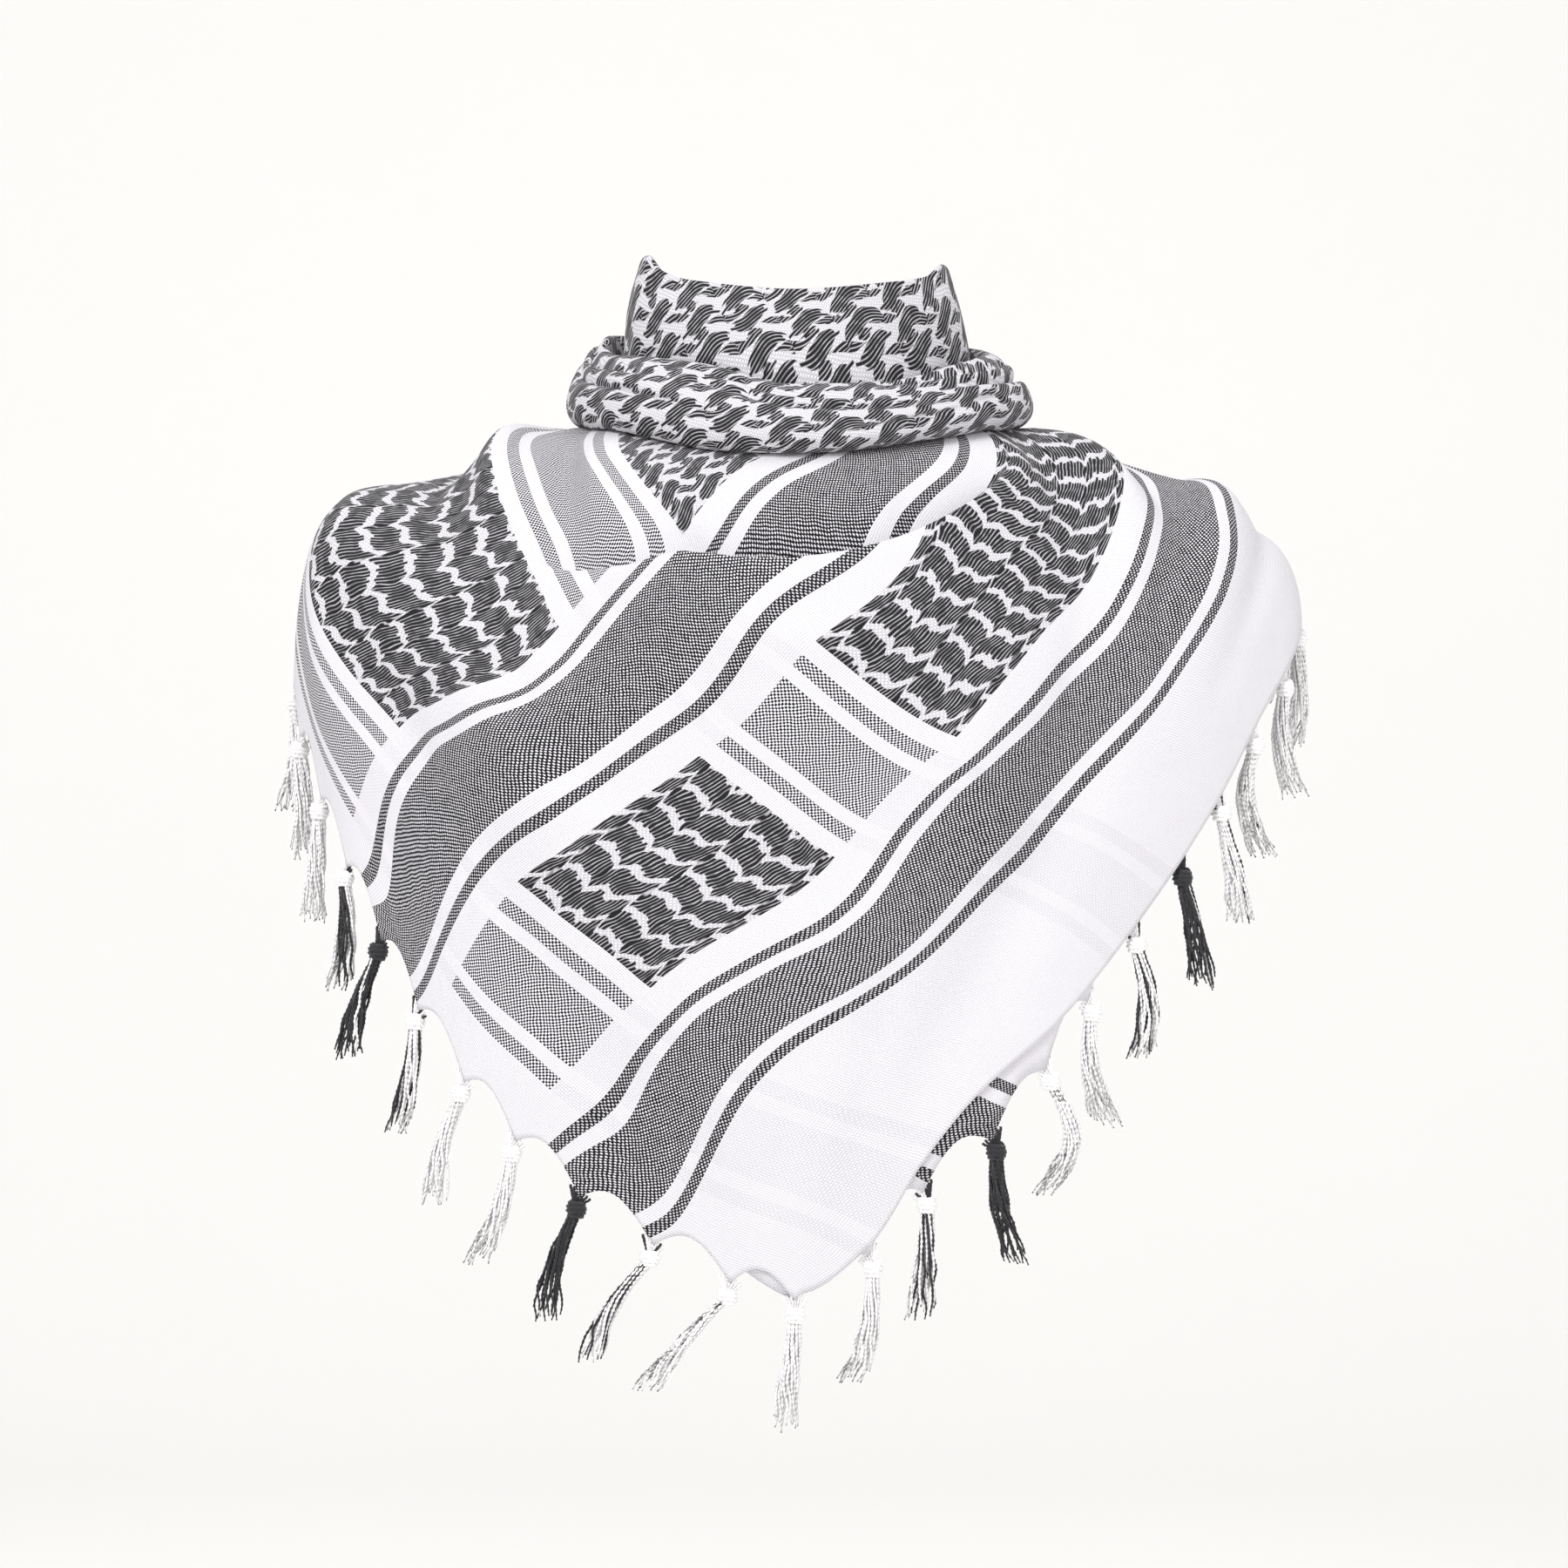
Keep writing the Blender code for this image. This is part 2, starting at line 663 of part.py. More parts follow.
def main():
    clear_scene()
    collection = bpy.data.collections.new("worn_headscarf")
    bpy.context.scene.collection.children.link(collection)
    top_cloth = cotton("patterned cotton", GREY_COTTON)
    star_cloth = cotton("star cotton", GREY_COTTON)
    under_cloth = cotton("under layer cotton", WHITE_COTTON)
    yarns = {
        "white yarn": cotton("white yarn", WHITE_COTTON),
        "mixed yarn": cotton("mixed yarn", GREY_COTTON),
        "black yarn": cotton("black yarn", BLACK_COTTON),
    }

    left_knots = tassel_bearings(-1, 0.0, LEFT_FIRST_PITCH)
    right_knots = tassel_bearings(1, DROOP_DEPTH, RIGHT_FIRST_PITCH)
    columns = column_bearings([0.0] + left_knots + right_knots)
    left_edge = sorted([0.0] + left_knots)
    right_edge = [0.0] + right_knots

    cloth_wall("bib_top", top_layer_rows(columns, left_edge), top_cloth, collection)
    cloth_wall("bib_under", under_layer_rows(columns, right_edge), under_cloth, collection)
    neck_roll(star_cloth, collection)
    neck_collar(star_cloth, collection)

    tassel("tassel_corner", -1, 0, 0.0, top_edge, yarns, collection)
    for order, bearing in enumerate(left_knots, 1):
        tassel(f"tassel_left_{order:02d}", -1, order, bearing, top_edge, yarns, collection)
    for order, bearing in enumerate(right_knots, 1):
        tassel(f"tassel_right_{order:02d}", 1, order, bearing, under_edge, yarns, collection)


main()
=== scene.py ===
"""Square woven headscarf, folded corner to corner and worn as a neck wrap.

The folded square hangs as a two-layer bib, its wings lie over the shoulders, and the rest is wound
round the neck as a roll and a standing collar. The cloth carries striped borders, wave panels and a
star field, and yarn tassels hang from its two cut edges. Metres, +Z up, the front faces -Y.
"""

from __future__ import annotations

import logging
import math
from dataclasses import dataclass, field
from enum import Enum
from typing import Callable, Sequence, Union

import bpy
import numpy as np
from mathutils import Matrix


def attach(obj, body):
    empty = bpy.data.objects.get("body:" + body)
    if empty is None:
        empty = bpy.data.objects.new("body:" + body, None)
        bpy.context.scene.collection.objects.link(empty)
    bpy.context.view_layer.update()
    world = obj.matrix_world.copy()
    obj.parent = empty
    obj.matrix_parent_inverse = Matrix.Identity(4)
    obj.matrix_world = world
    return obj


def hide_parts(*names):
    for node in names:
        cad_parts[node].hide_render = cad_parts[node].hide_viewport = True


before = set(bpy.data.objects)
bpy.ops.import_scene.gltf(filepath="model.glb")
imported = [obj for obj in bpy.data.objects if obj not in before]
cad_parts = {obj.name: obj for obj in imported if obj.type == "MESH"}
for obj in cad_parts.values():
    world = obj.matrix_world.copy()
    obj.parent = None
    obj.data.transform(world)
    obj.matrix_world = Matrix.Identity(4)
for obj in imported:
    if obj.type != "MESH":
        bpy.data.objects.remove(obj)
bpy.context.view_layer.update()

LOG = logging.getLogger("headscarf")
FAR = 1e9
Array = np.ndarray
Pair = tuple[float, float]
Spans = tuple[Pair, ...]
Colour = tuple[float, float, float, float]


class Side(Enum):
    """The two legs of the bib's edge, as seen from in front."""

    LEFT = -1
    RIGHT = 1


class Yarn(Enum):
    """The yarns of the tassels, by material slot."""

    WHITE = "white_yarn"
    MIXED = "mixed_yarn"
    BLACK = "black_yarn"


class Pattern(Enum):
    """How much of the square's woven pattern a piece of the cloth carries."""

    WHOLE_SQUARE = "whole square"
    STAR_FIELD = "star field"


@dataclass(frozen=True)
class Ring:
    """One ring round the body that the cloth lies on."""

    half_width: float
    front: float
    back: float
    front_z: float
    side_z: float
    back_z: float


@dataclass(frozen=True)
class Fold:
    """A soft fold along a line, by bearing in degrees and ring level; a trough has a minus height."""

    start: Pair
    end: Pair
    width: float
    height: float


@dataclass(frozen=True)
class Swag:
    """The fold across the chest: the level of its crest and its strength at a bearing."""

    bearing: float
    level: float
    strength: float


@dataclass(frozen=True)
class RollStation:
    """Sizes of the neck roll at a bearing."""

    bearing: float
    reach: float
    inner: float
    top_z: float


@dataclass(frozen=True)
class CollarStation:
    """Sizes of the standing collar at a bearing."""

    bearing: float
    rim_z: float
    rim_reach: float
    waist_reach: float
    flare_reach: float


@dataclass(frozen=True)
class Lean:
    """How a tassel hangs, as shares of its length."""

    sideways: float
    curl: float


@dataclass(frozen=True)
class WovenLine:
    """A woven line of the square: its place on the cloth and where the photograph shows it, in pixels."""

    name: str
    at: float
    pixels: Spans


RINGS = (
    Ring(0.082, 0.0768, 0.077, -0.0150, -0.0020, 0.0000),
    Ring(0.109, 0.0975, 0.094, -0.0300, -0.0060, -0.0080),
    Ring(0.136, 0.113, 0.104, -0.0640, -0.0150, -0.0220),
    Ring(0.166, 0.126, 0.112, -0.1080, -0.0270, -0.0450),
    Ring(0.198, 0.136, 0.117, -0.1600, -0.0370, -0.0780),
    Ring(0.223, 0.141, 0.117, -0.2150, -0.0540, -0.1120),
    Ring(0.233, 0.143, 0.114, -0.2720, -0.0880, -0.1560),
    Ring(0.236, 0.142, 0.110, -0.3350, -0.1480, -0.2130),
    Ring(0.236, 0.137, 0.106, -0.4020, -0.2200, -0.2750),
    Ring(0.236, 0.131, 0.102, -0.4700, -0.2920, -0.3400),
)

HEM_BEARINGS = (
    -180, -155, -130, -108, -90, -73, -60, -48, -36, -24, -12, 0, 8,
    14, 20, 30, 42, 54, 66, 78, 90, 110, 135, 158, 180,
)
HEM_HEIGHTS = (
    -0.013, -0.024, -0.052, -0.090, -0.126, -0.160, -0.208, -0.265, -0.318, -0.356, -0.384, -0.401, -0.380,
    -0.343, -0.314, -0.281, -0.233, -0.186, -0.141, -0.111, -0.088, -0.062, -0.037, -0.020, -0.013,
)

SWAG = (
    Swag(-180, 0.50, 0.0),
    Swag(-110, 1.60, 0.0),
    Swag(-66, 2.90, 0.0),
    Swag(-52, 3.05, 0.08),
    Swag(-40, 3.00, 0.38),
    Swag(-29, 2.80, 0.8),
    Swag(-18, 2.50, 1.0),
    Swag(0, 2.42, 1.0),
    Swag(21, 2.32, 1.0),
    Swag(34, 2.10, 0.8),
    Swag(48, 1.70, 0.36),
    Swag(62, 1.35, 0.08),
    Swag(80, 1.20, 0.0),
    Swag(180, 0.50, 0.0),
)

MAIN_FOLDS = (
    Fold((-98, 1.2), (-58, 2.9), 0.014, 0.010),
    Fold((-70, 0.9), (-40, 2.8), 0.013, -0.007),
    Fold((-104, 2.1), (-60, 3.8), 0.013, -0.005),
    Fold((-112, 3.4), (-54, 5.2), 0.022, 0.005),
    Fold((-58, 4.0), (-16, 5.6), 0.028, 0.007),
    Fold((-62, 5.2), (-22, 6.8), 0.022, -0.005),
    Fold((-84, 4.4), (-58, 7.0), 0.022, 0.005),
    Fold((34, 3.6), (-8, 6.6), 0.026, 0.007),
    Fold((40, 4.6), (8, 7.2), 0.020, -0.005),
    Fold((72, 0.9), (50, 3.0), 0.013, -0.006),
    Fold((88, 1.25), (56, 3.8), 0.015, 0.008),
    Fold((118, 3.2), (62, 4.6), 0.019, 0.007),
    Fold((112, 4.2), (60, 5.6), 0.016, -0.004),
    Fold((108, 5.0), (58, 7.2), 0.022, 0.005),
    Fold((6, 6.2), (-2, 8.2), 0.022, 0.005),
    Fold((-156, 0.9), (-122, 3.6), 0.022, 0.006),
    Fold((-140, 1.0), (-104, 3.8), 0.018, -0.004),
    Fold((152, 0.9), (120, 3.4), 0.022, 0.006),
    Fold((136, 1.0), (102, 3.6), 0.018, -0.004),
)

# Small creases that only the finished cloth has
CREASES = (
    Fold((-30, 1.2), (-14, 2.2), 0.007, 0.0022),
    Fold((-6, 1.3), (4, 2.2), 0.006, -0.0016),
    Fold((22, 1.2), (14, 2.1), 0.007, 0.0018),
    Fold((-52, 1.3), (-33, 2.6), 0.007, 0.0020),
    Fold((-88, 1.6), (-66, 3.4), 0.008, 0.0022),
    Fold((-80, 2.2), (-52, 4.2), 0.009, -0.0018),
    Fold((-46, 3.6), (-26, 4.3), 0.009, 0.0016),
    Fold((-20, 3.0), (26, 3.1), 0.010, 0.0018),
    Fold((-34, 4.6), (4, 5.0), 0.010, -0.0014),
    Fold((44, 2.4), (20, 4.4), 0.010, 0.0018),
    Fold((52, 2.8), (30, 5.0), 0.010, -0.0018),
    Fold((66, 2.2), (44, 4.8), 0.011, 0.0020),
    Fold((82, 2.4), (60, 4.4), 0.009, -0.0018),
    Fold((100, 2.0), (78, 4.0), 0.010, 0.0020),
    Fold((-120, 2.0), (-92, 4.4), 0.010, 0.0020),
    Fold((-136, 1.6), (-112, 3.2), 0.009, -0.0016),
    Fold((134, 1.4), (112, 3.4), 0.010, 0.0020),
    Fold((-12, 5.6), (-4, 7.8), 0.009, 0.0016),
    Fold((12, 5.4), (4, 7.6), 0.009, -0.0014),
    Fold((-44, 5.4), (-34, 6.8), 0.009, 0.0014),
)

ROLL = (
    RollStation(-180, 0.0960, 0.0765, 0.036),
    RollStation(-150, 0.0980, 0.0775, 0.039),
    RollStation(-120, 0.1040, 0.0815, 0.042),
    RollStation(-98, 0.1080, 0.0840, 0.040),
    RollStation(-80, 0.1075, 0.0835, 0.029),
    RollStation(-60, 0.1035, 0.0820, 0.026),
    RollStation(-30, 0.1000, 0.0790, 0.020),
    RollStation(0, 0.0990, 0.0770, 0.010),
    RollStation(30, 0.1010, 0.0780, 0.012),
    RollStation(60, 0.1070, 0.0815, 0.022),
    RollStation(90, 0.1130, 0.0855, 0.031),
    RollStation(120, 0.1060, 0.0820, 0.037),
    RollStation(150, 0.0990, 0.0780, 0.038),
    RollStation(180, 0.0960, 0.0765, 0.036),
)
ROLL_SECTION = (
    (0.05, 0.42), (0.05, 0.84), (0.16, 1.00), (0.47, 0.89), (0.76, 0.67),
    (0.95, 0.40), (0.95, 0.15), (0.72, 0.00), (0.34, 0.10),
)
ROLL_CREASES = (
    Fold((-112, 2.5), (-52, 3.3), 0.20, -0.0046),
    Fold((-92, 3.7), (-22, 5.0), 0.22, -0.0034),
    Fold((-40, 2.6), (24, 3.6), 0.16, -0.0018),
    Fold((-20, 3.6), (58, 4.7), 0.20, -0.0026),
    Fold((14, 5.5), (66, 4.7), 0.20, -0.0022),
    Fold((50, 3.5), (112, 4.1), 0.22, -0.0056),
    Fold((34, 2.6), (88, 3.1), 0.16, -0.0028),
    Fold((112, 2.8), (176, 4.4), 0.24, -0.0026),
    Fold((-176, 4.4), (-128, 5.0), 0.24, -0.0022),
    Fold((-172, 2.7), (-116, 4.0), 0.22, -0.0026),
)

COLLAR = (
    CollarStation(-180, 0.0600, 0.0700, 0.0720, 0.0745),
    CollarStation(-130, 0.0620, 0.0715, 0.0740, 0.0765),
    CollarStation(-98, 0.0680, 0.0735, 0.0775, 0.0800),
    CollarStation(-86, 0.0730, 0.0738, 0.0785, 0.0805),
    CollarStation(-73, 0.0745, 0.0735, 0.0780, 0.0800),
    CollarStation(-60, 0.0660, 0.0725, 0.0765, 0.0785),
    CollarStation(-42, 0.0600, 0.0715, 0.0745, 0.0765),
    CollarStation(0, 0.0545, 0.0700, 0.0720, 0.0745),
    CollarStation(42, 0.0595, 0.0715, 0.0745, 0.0760),
    CollarStation(60, 0.0635, 0.0725, 0.0765, 0.0780),
    CollarStation(74, 0.0705, 0.0735, 0.0780, 0.0805),
    CollarStation(90, 0.0685, 0.0740, 0.0785, 0.0825),
    CollarStation(104, 0.0650, 0.0735, 0.0775, 0.0805),
    CollarStation(135, 0.0620, 0.0715, 0.0740, 0.0765),
    CollarStation(180, 0.0600, 0.0700, 0.0720, 0.0745),
)

LEFT_LEANS = (
    Lean(-0.72, -0.04), Lean(-0.52, -0.10), Lean(-0.26, -0.06), Lean(-0.32, 0.05), Lean(-0.24, -0.05),
    Lean(-0.18, 0.04), Lean(-0.28, -0.05), Lean(-0.08, 0.05), Lean(-0.05, 0.00), Lean(0.02, 0.03),
)
RIGHT_LEANS = (
    Lean(-0.20, 0.06), Lean(-0.08, 0.02), Lean(0.18, -0.05), Lean(-0.08, 0.22), Lean(0.15, -0.08),
    Lean(0.02, 0.09), Lean(0.18, 0.02), Lean(0.16, 0.03), Lean(0.08, -0.12), Lean(0.10, -0.08),
)
CORNER_LEAN = Lean(-0.10, 0.0)

# Lines along the selvage, by distance from it
ALONG_SELVAGE = (
    WovenLine("outer thin stripe", 0.078, (
        (770, 1405), (800, 1350), (825, 1300), (850, 1255), (900, 1203), (950, 1170), (1000, 1140),
        (1175, 985), (1250, 890), (1300, 835), (1350, 770), (1400, 690), (1418, 630), (1412, 590),
        (1385, 548),
    )),
    WovenLine("outer wide stripe, inner side", 0.123, (
        (717, 1300), (750, 1225), (800, 1165), (850, 1135), (900, 1105), (950, 1085), (1000, 1045),
        (1050, 965), (1100, 905), (1150, 862), (1200, 820), (1250, 765), (1300, 700), (1330, 620),
        (1322, 545),
    )),
    WovenLine("wave row, outer side", 0.154, ((750, 1135), (855, 1062), (958, 985), (1105, 850))),
    WovenLine("wave row, inner side", 0.231, ((592, 1010), (697, 938), (800, 865), (935, 735))),
    WovenLine("inner thin stripe", 0.250, (
        (482, 1150), (500, 1090), (525, 1040), (550, 1000), (625, 945), (675, 905), (725, 870),
        (800, 820), (830, 785), (870, 720), (890, 695),
    )),
    WovenLine("inner thin stripe above the swag", 0.250, (
        (1013, 620), (1040, 587), (1067, 560), (1107, 537),
    )),
    WovenLine("inner wide stripe, inner side", 0.305, (
        (452, 1050), (450, 990), (455, 940), (475, 895), (500, 850), (560, 810), (640, 785),
        (680, 740), (720, 690), (750, 665),
    )),
    WovenLine("inner wide stripe above the swag", 0.305, (
        (852, 618), (880, 573), (913, 547), (960, 534),
    )),
    WovenLine("last thin stripe above the swag", 0.316, (
        (824, 620), (840, 593), (873, 553), (907, 537),
    )),
    WovenLine("star field, outer side", 0.336, (
        (460, 835), (500, 815), (560, 790), (600, 770), (640, 720), (788, 614), (800, 591),
        (822, 564), (860, 532),
    )),
)

# Lines along the fringed edge, by distance from it
ALONG_FRINGE = (
    WovenLine("first thin set", 0.0355, ((525, 1130), (655, 1262))),
    WovenLine("first wide set, outer side", 0.0455, ((535, 1115), (675, 1235))),
    WovenLine("second thin set", 0.0855, ((571, 1033), (721, 1157))),
    WovenLine("wave panel, outer side", 0.098, ((592, 1010), (670, 1072), (750, 1135))),
    WovenLine("wave panel, inner side", 0.198, ((800, 865), (880, 925), (958, 985))),
    WovenLine("third thin set", 0.2105, ((827, 849), (982, 963))),
    WovenLine("second wide set, inner side", 0.2505, ((895, 770), (1055, 890))),
    WovenLine("long wave row", 0.273, ((935, 735), (1105, 850))),
    WovenLine("shoulder panel, outer side", 0.098, ((357, 690), (400, 770), (460, 835))),
    WovenLine("shoulder panel, inner side", 0.198, (
        (569, 538), (576, 573), (588, 604), (604, 640), (629, 684),
    )),
    WovenLine("third thin set at the shoulder", 0.2105, (
        (589, 512), (594, 547), (606, 583), (622, 618), (659, 685),
    )),
    WovenLine("second wide set, outer side at the shoulder", 0.2205, (
        (612, 497), (616, 529), (622, 560), (633, 591), (653, 620), (679, 662),
    )),
    WovenLine("second wide set, inner side at the shoulder", 0.2505, (
        (668, 497), (670, 518), (682, 536), (704, 573), (724, 613), (742, 640),
    )),
    WovenLine("fourth thin set at the shoulder", 0.2605, (
        (690, 510), (702, 533), (723, 564), (742, 593), (766, 633),
    )),
    WovenLine("star field, outer side at the shoulder", 0.273, (
        (704, 520), (724, 538), (740, 562), (758, 582), (785, 607),
    )),
)


def hermite(a: Array, b: Array, slope_a: Array, slope_b: Array, t: Array) -> Array:
    """Cubic between two values with given slopes, for t from 0 to 1."""
    return (
        a * (2 * t**3 - 3 * t**2 + 1)
        + slope_a * (t**3 - 2 * t**2 + t)
        + b * (3 * t**2 - 2 * t**3)
        + slope_b * (t**3 - t**2)
    )


def smooth_curve(places: Sequence[float], values: Sequence[float], at: Array) -> Array:
    """Reads a smooth curve that never overshoots its values.

    Args:
        places: where the values are given, in rising order.
        values: the values there.
        at: where to read the curve.

    Returns:
        The curve's values.
    """
    x = np.asarray(places, float)
    y = np.asarray(values, float)
    width = np.diff(x)
    rise = np.diff(y) / width
    slope = np.zeros_like(y)
    slope[0] = rise[0]
    before, after = rise[:-1], rise[1:]
    same = before * after > 0
    slope[1:-1] = np.where(same, 2 * before * after / np.where(same, before + after, 1.0), 0.0)
    inside = np.clip(at, x[0], x[-1])
    k = np.clip(np.searchsorted(x, inside, side="right") - 1, 0, len(x) - 2)
    t = (inside - x[k]) / width[k]
    return hermite(y[k], y[k + 1], slope[k] * width[k], slope[k + 1] * width[k], t)


def swell(share: Array) -> Array:
    """How a fold's height changes along it: most in its middle, least at its ends."""
    return 0.35 + 0.65 * np.sin(math.pi * share)


def unit(vectors: Array) -> Array:
    """The same directions with length 1."""
    return vectors / np.maximum(np.linalg.norm(vectors, axis=-1, keepdims=True), 1e-12)


def ring_values(rows: Sequence[object], column: str, bearing: Array) -> Array:
    """Reads one column of a table of stations at bearings."""
    return smooth_curve([row.bearing for row in rows], [getattr(row, column) for row in rows], bearing)


@dataclass(frozen=True)
class Drape:
    """The smooth body that the cloth lies on, and the folds in the cloth."""

    rings: tuple[Ring, ...] = RINGS
    folds: tuple[Fold, ...] = MAIN_FOLDS
    creases: tuple[Fold, ...] = CREASES
    level_spacing: float = 0.052
    layer_step: float = 0.0021
    droop_bearing: float = 22.0
    droop_width: float = 9.0
    droop_depth: float = 0.024

    def column(self, name: str, level: Array) -> Array:
        """Reads a column of the rings between its rows, as a smooth curve."""
        table = np.array([getattr(ring, name) for ring in self.rings])
        last = len(table) - 1
        place = np.maximum(level, 0.0)
        i = np.minimum(place.astype(int), last - 1)
        a, b = table[i], table[i + 1]
        before, after = table[np.maximum(i - 1, 0)], table[np.minimum(i + 2, last)]
        slope_a = (b - before) / np.where(i > 0, 2, 1)
        slope_b = (after - a) / np.where(i < last - 1, 2, 1)
        return hermite(a, b, slope_a, slope_b, place - i)

    def body(self, bearing: Array, level: Array) -> Array:
        """Places on the smooth body.

        Args:
            bearing: degrees round the body, 0 in front and minus on the left.
            level: ring level, from 0 at the neck down.

        Returns:
            Points, one for each bearing and level.
        """
        bearing, level = np.broadcast_arrays(np.asarray(bearing, float), np.asarray(level, float))
        angle = np.radians(bearing)
        ahead = np.cos(angle)
        in_front = ahead >= 0
        depth = np.where(in_front, self.column("front", level), self.column("back", level))
        middle = np.where(in_front, self.column("front_z", level), self.column("back_z", level))
        side = self.column("side_z", level)
        height = middle + (side - middle) * np.sin(angle) ** 2
        return np.stack((self.column("half_width", level) * np.sin(angle), -depth * ahead, height), axis=-1)

    def out(self, place: Callable[[Array, Array], Array], bearing: Array, level: Array) -> Array:
        """The direction out of a surface that is given as a function of bearing and level."""
        across = place(bearing + 1, level) - place(bearing - 1, level)
        down = place(bearing, level + 0.1) - place(bearing, np.maximum(level - 0.1, 0))
        return unit(np.cross(down, across))

    def lift(self, folds: Sequence[Fold], bearing: Array, level: Array) -> Array:
        """How far folds lift the cloth off the smooth body."""
        radius = 0.5 * (self.column("half_width", level) + self.column("front", level))
        total = np.zeros(np.broadcast(bearing, level).shape)
        for fold in folds:
            line_x = math.radians(fold.end[0] - fold.start[0]) * radius
            line_y = (fold.end[1] - fold.start[1]) * self.level_spacing
            x = np.radians(bearing - fold.start[0]) * radius
            y = (level - fold.start[1]) * self.level_spacing
            nearest = np.clip((x * line_x + y * line_y) / (line_x**2 + line_y**2), 0.0, 1.0)
            off_line = np.hypot(x - nearest * line_x, y - nearest * line_y)
            total += fold.height * swell(nearest) * np.exp(-((off_line / fold.width) ** 2))
        return total

    def lying(self, bearing: Array, level: Array, offset: Union[Array, float] = 0.0) -> Array:
        """Places on the draped cloth with its main folds, offset outwards."""
        bearing, level = np.broadcast_arrays(np.asarray(bearing, float), np.asarray(level, float))
        height = self.lift(self.folds, bearing, level) + offset
        return self.body(bearing, level) + self.out(self.body, bearing, level) * height[..., None]

    def under(self, bearing: Array, level: Array) -> Array:
        """Places on the under layer, one step inside the top layer's folds."""
        bearing, level = np.broadcast_arrays(np.asarray(bearing, float), np.asarray(level, float))
        return self.lying(bearing, level) - self.out(self.lying, bearing, level) * self.layer_step

    def level_at(self, bearing: Array, height: Array) -> Array:
        """The ring level where the body passes a height, found by halving."""
        low = np.full(np.shape(bearing), 0.2)
        high = np.full(np.shape(bearing), len(self.rings) - 1.0)
        for _ in range(30):
            middle = 0.5 * (low + high)
            above = self.body(bearing, middle)[..., 2] > height
            low, high = np.where(above, middle, low), np.where(above, high, middle)
        return low

    def hem(self, bearing: Array, droop: Union[Array, float] = 0.0) -> Array:
        """The ring level of the bib's edge."""
        height = smooth_curve(HEM_BEARINGS, HEM_HEIGHTS, bearing)
        sag = droop * np.exp(-(((bearing - self.droop_bearing) / self.droop_width) ** 2))
        return self.level_at(bearing, height - sag)


@dataclass(frozen=True)
class Knots:
    """Where the tassels are knotted along the two cut edges."""

    drape: Drape
    pitch: float = 0.0385
    left_first: float = 0.029
    right_first: float = 0.037
    step: float = 0.5
    furthest: float = 172.0

    def along(self, side: Side) -> tuple[list[float], list[float]]:
        """Follows one leg from the corner to the nape.

        Args:
            side: the leg.

        Returns:
            The knots' bearings, and their distances from the corner along the edge.
        """
        droop = self.drape.droop_depth if side is Side.RIGHT else 0.0
        first = self.right_first if side is Side.RIGHT else self.left_first
        bearings = side.value * np.arange(0.0, self.furthest + self.step, self.step)
        edge = self.drape.lying(bearings, self.drape.hem(bearings, droop))
        gone = np.concatenate(([0.0], np.cumsum(np.linalg.norm(np.diff(edge, axis=0), axis=1))))
        places: list[float] = []
        distances: list[float] = []
        for bearing, distance in zip(bearings, gone):
            if distance >= first + self.pitch * len(places):
                places.append(float(bearing))
                distances.append(float(distance))
        return places, distances


@dataclass(frozen=True)
class View:
    """The photograph's viewing position, level and straight in front, in metres."""

    x: float = -0.0049
    z: float = -0.172
    distance: float = 2.4
    pixel: float = 0.00041
    middle: float = 900.0

    def project(self, points: Array) -> Array:
        """Pixel places of points, as across and down in the 1800 pixel frame."""
        size = self.pixel * (self.distance + points[..., 1]) / self.distance
        across = self.middle + (points[..., 0] - self.x) / size
        down = self.middle - (points[..., 2] - self.z) / size
        return np.stack((across, down), axis=-1)


class ThinPlate:
    """A smooth field through scattered values, bending as little as it can."""

    chunk: int = 4000

    def __init__(self, places: Array, values: Array, slack: float) -> None:
        """Fits the field.

        Args:
            places: points in the plane, one row each.
            values: the value at each.
            slack: how far the field may pass by its values; 0 passes through them.
        """
        count = len(places)
        self.places = places
        system = np.zeros((count + 3, count + 3))
        system[:count, :count] = self._bend(places, places) + slack * np.eye(count)
        system[:count, count] = 1.0
        system[:count, count + 1 :count + 3] = places
        system[count:, :count] = system[:count, count:].T
        self.weights = np.linalg.solve(system, np.concatenate((values, np.zeros(3))))

    @staticmethod
    def _bend(a: Array, b: Array) -> Array:
        """The plate's bending term between two sets of places."""
        square = ((a[:, None, :] - b[None, :, :]) ** 2).sum(-1)
        return 0.5 * square * np.log(np.maximum(square, 1e-14))

    def read(self, places: Array) -> Array:
        """The field at other places."""
        flat = places.reshape(-1, 2)
        bends, level, slope = self.weights[:-3], self.weights[-3], self.weights[-2:]
        parts = []
        for chunk in np.array_split(flat, max(1, len(flat) // self.chunk)):
            parts.append(self._bend(chunk, self.places) @ bends + level + chunk @ slope)
        return np.concatenate(parts).reshape(places.shape[:-1])


def operator(operation: str, swapped: bool = False) -> Callable[["Term", "Number"], "Term"]:
    """Makes the method for one operator between a shader value and another value.

    Args:
        operation: the Math node's operation.
        swapped: whether the other value comes first.

    Returns:
        The method.
    """

    def method(self: "Term", other: "Number") -> "Term":
        """Adds the Math node."""
        values = (other, self) if swapped else (self, other)
        return self.graph.math(operation, *values)

    return method


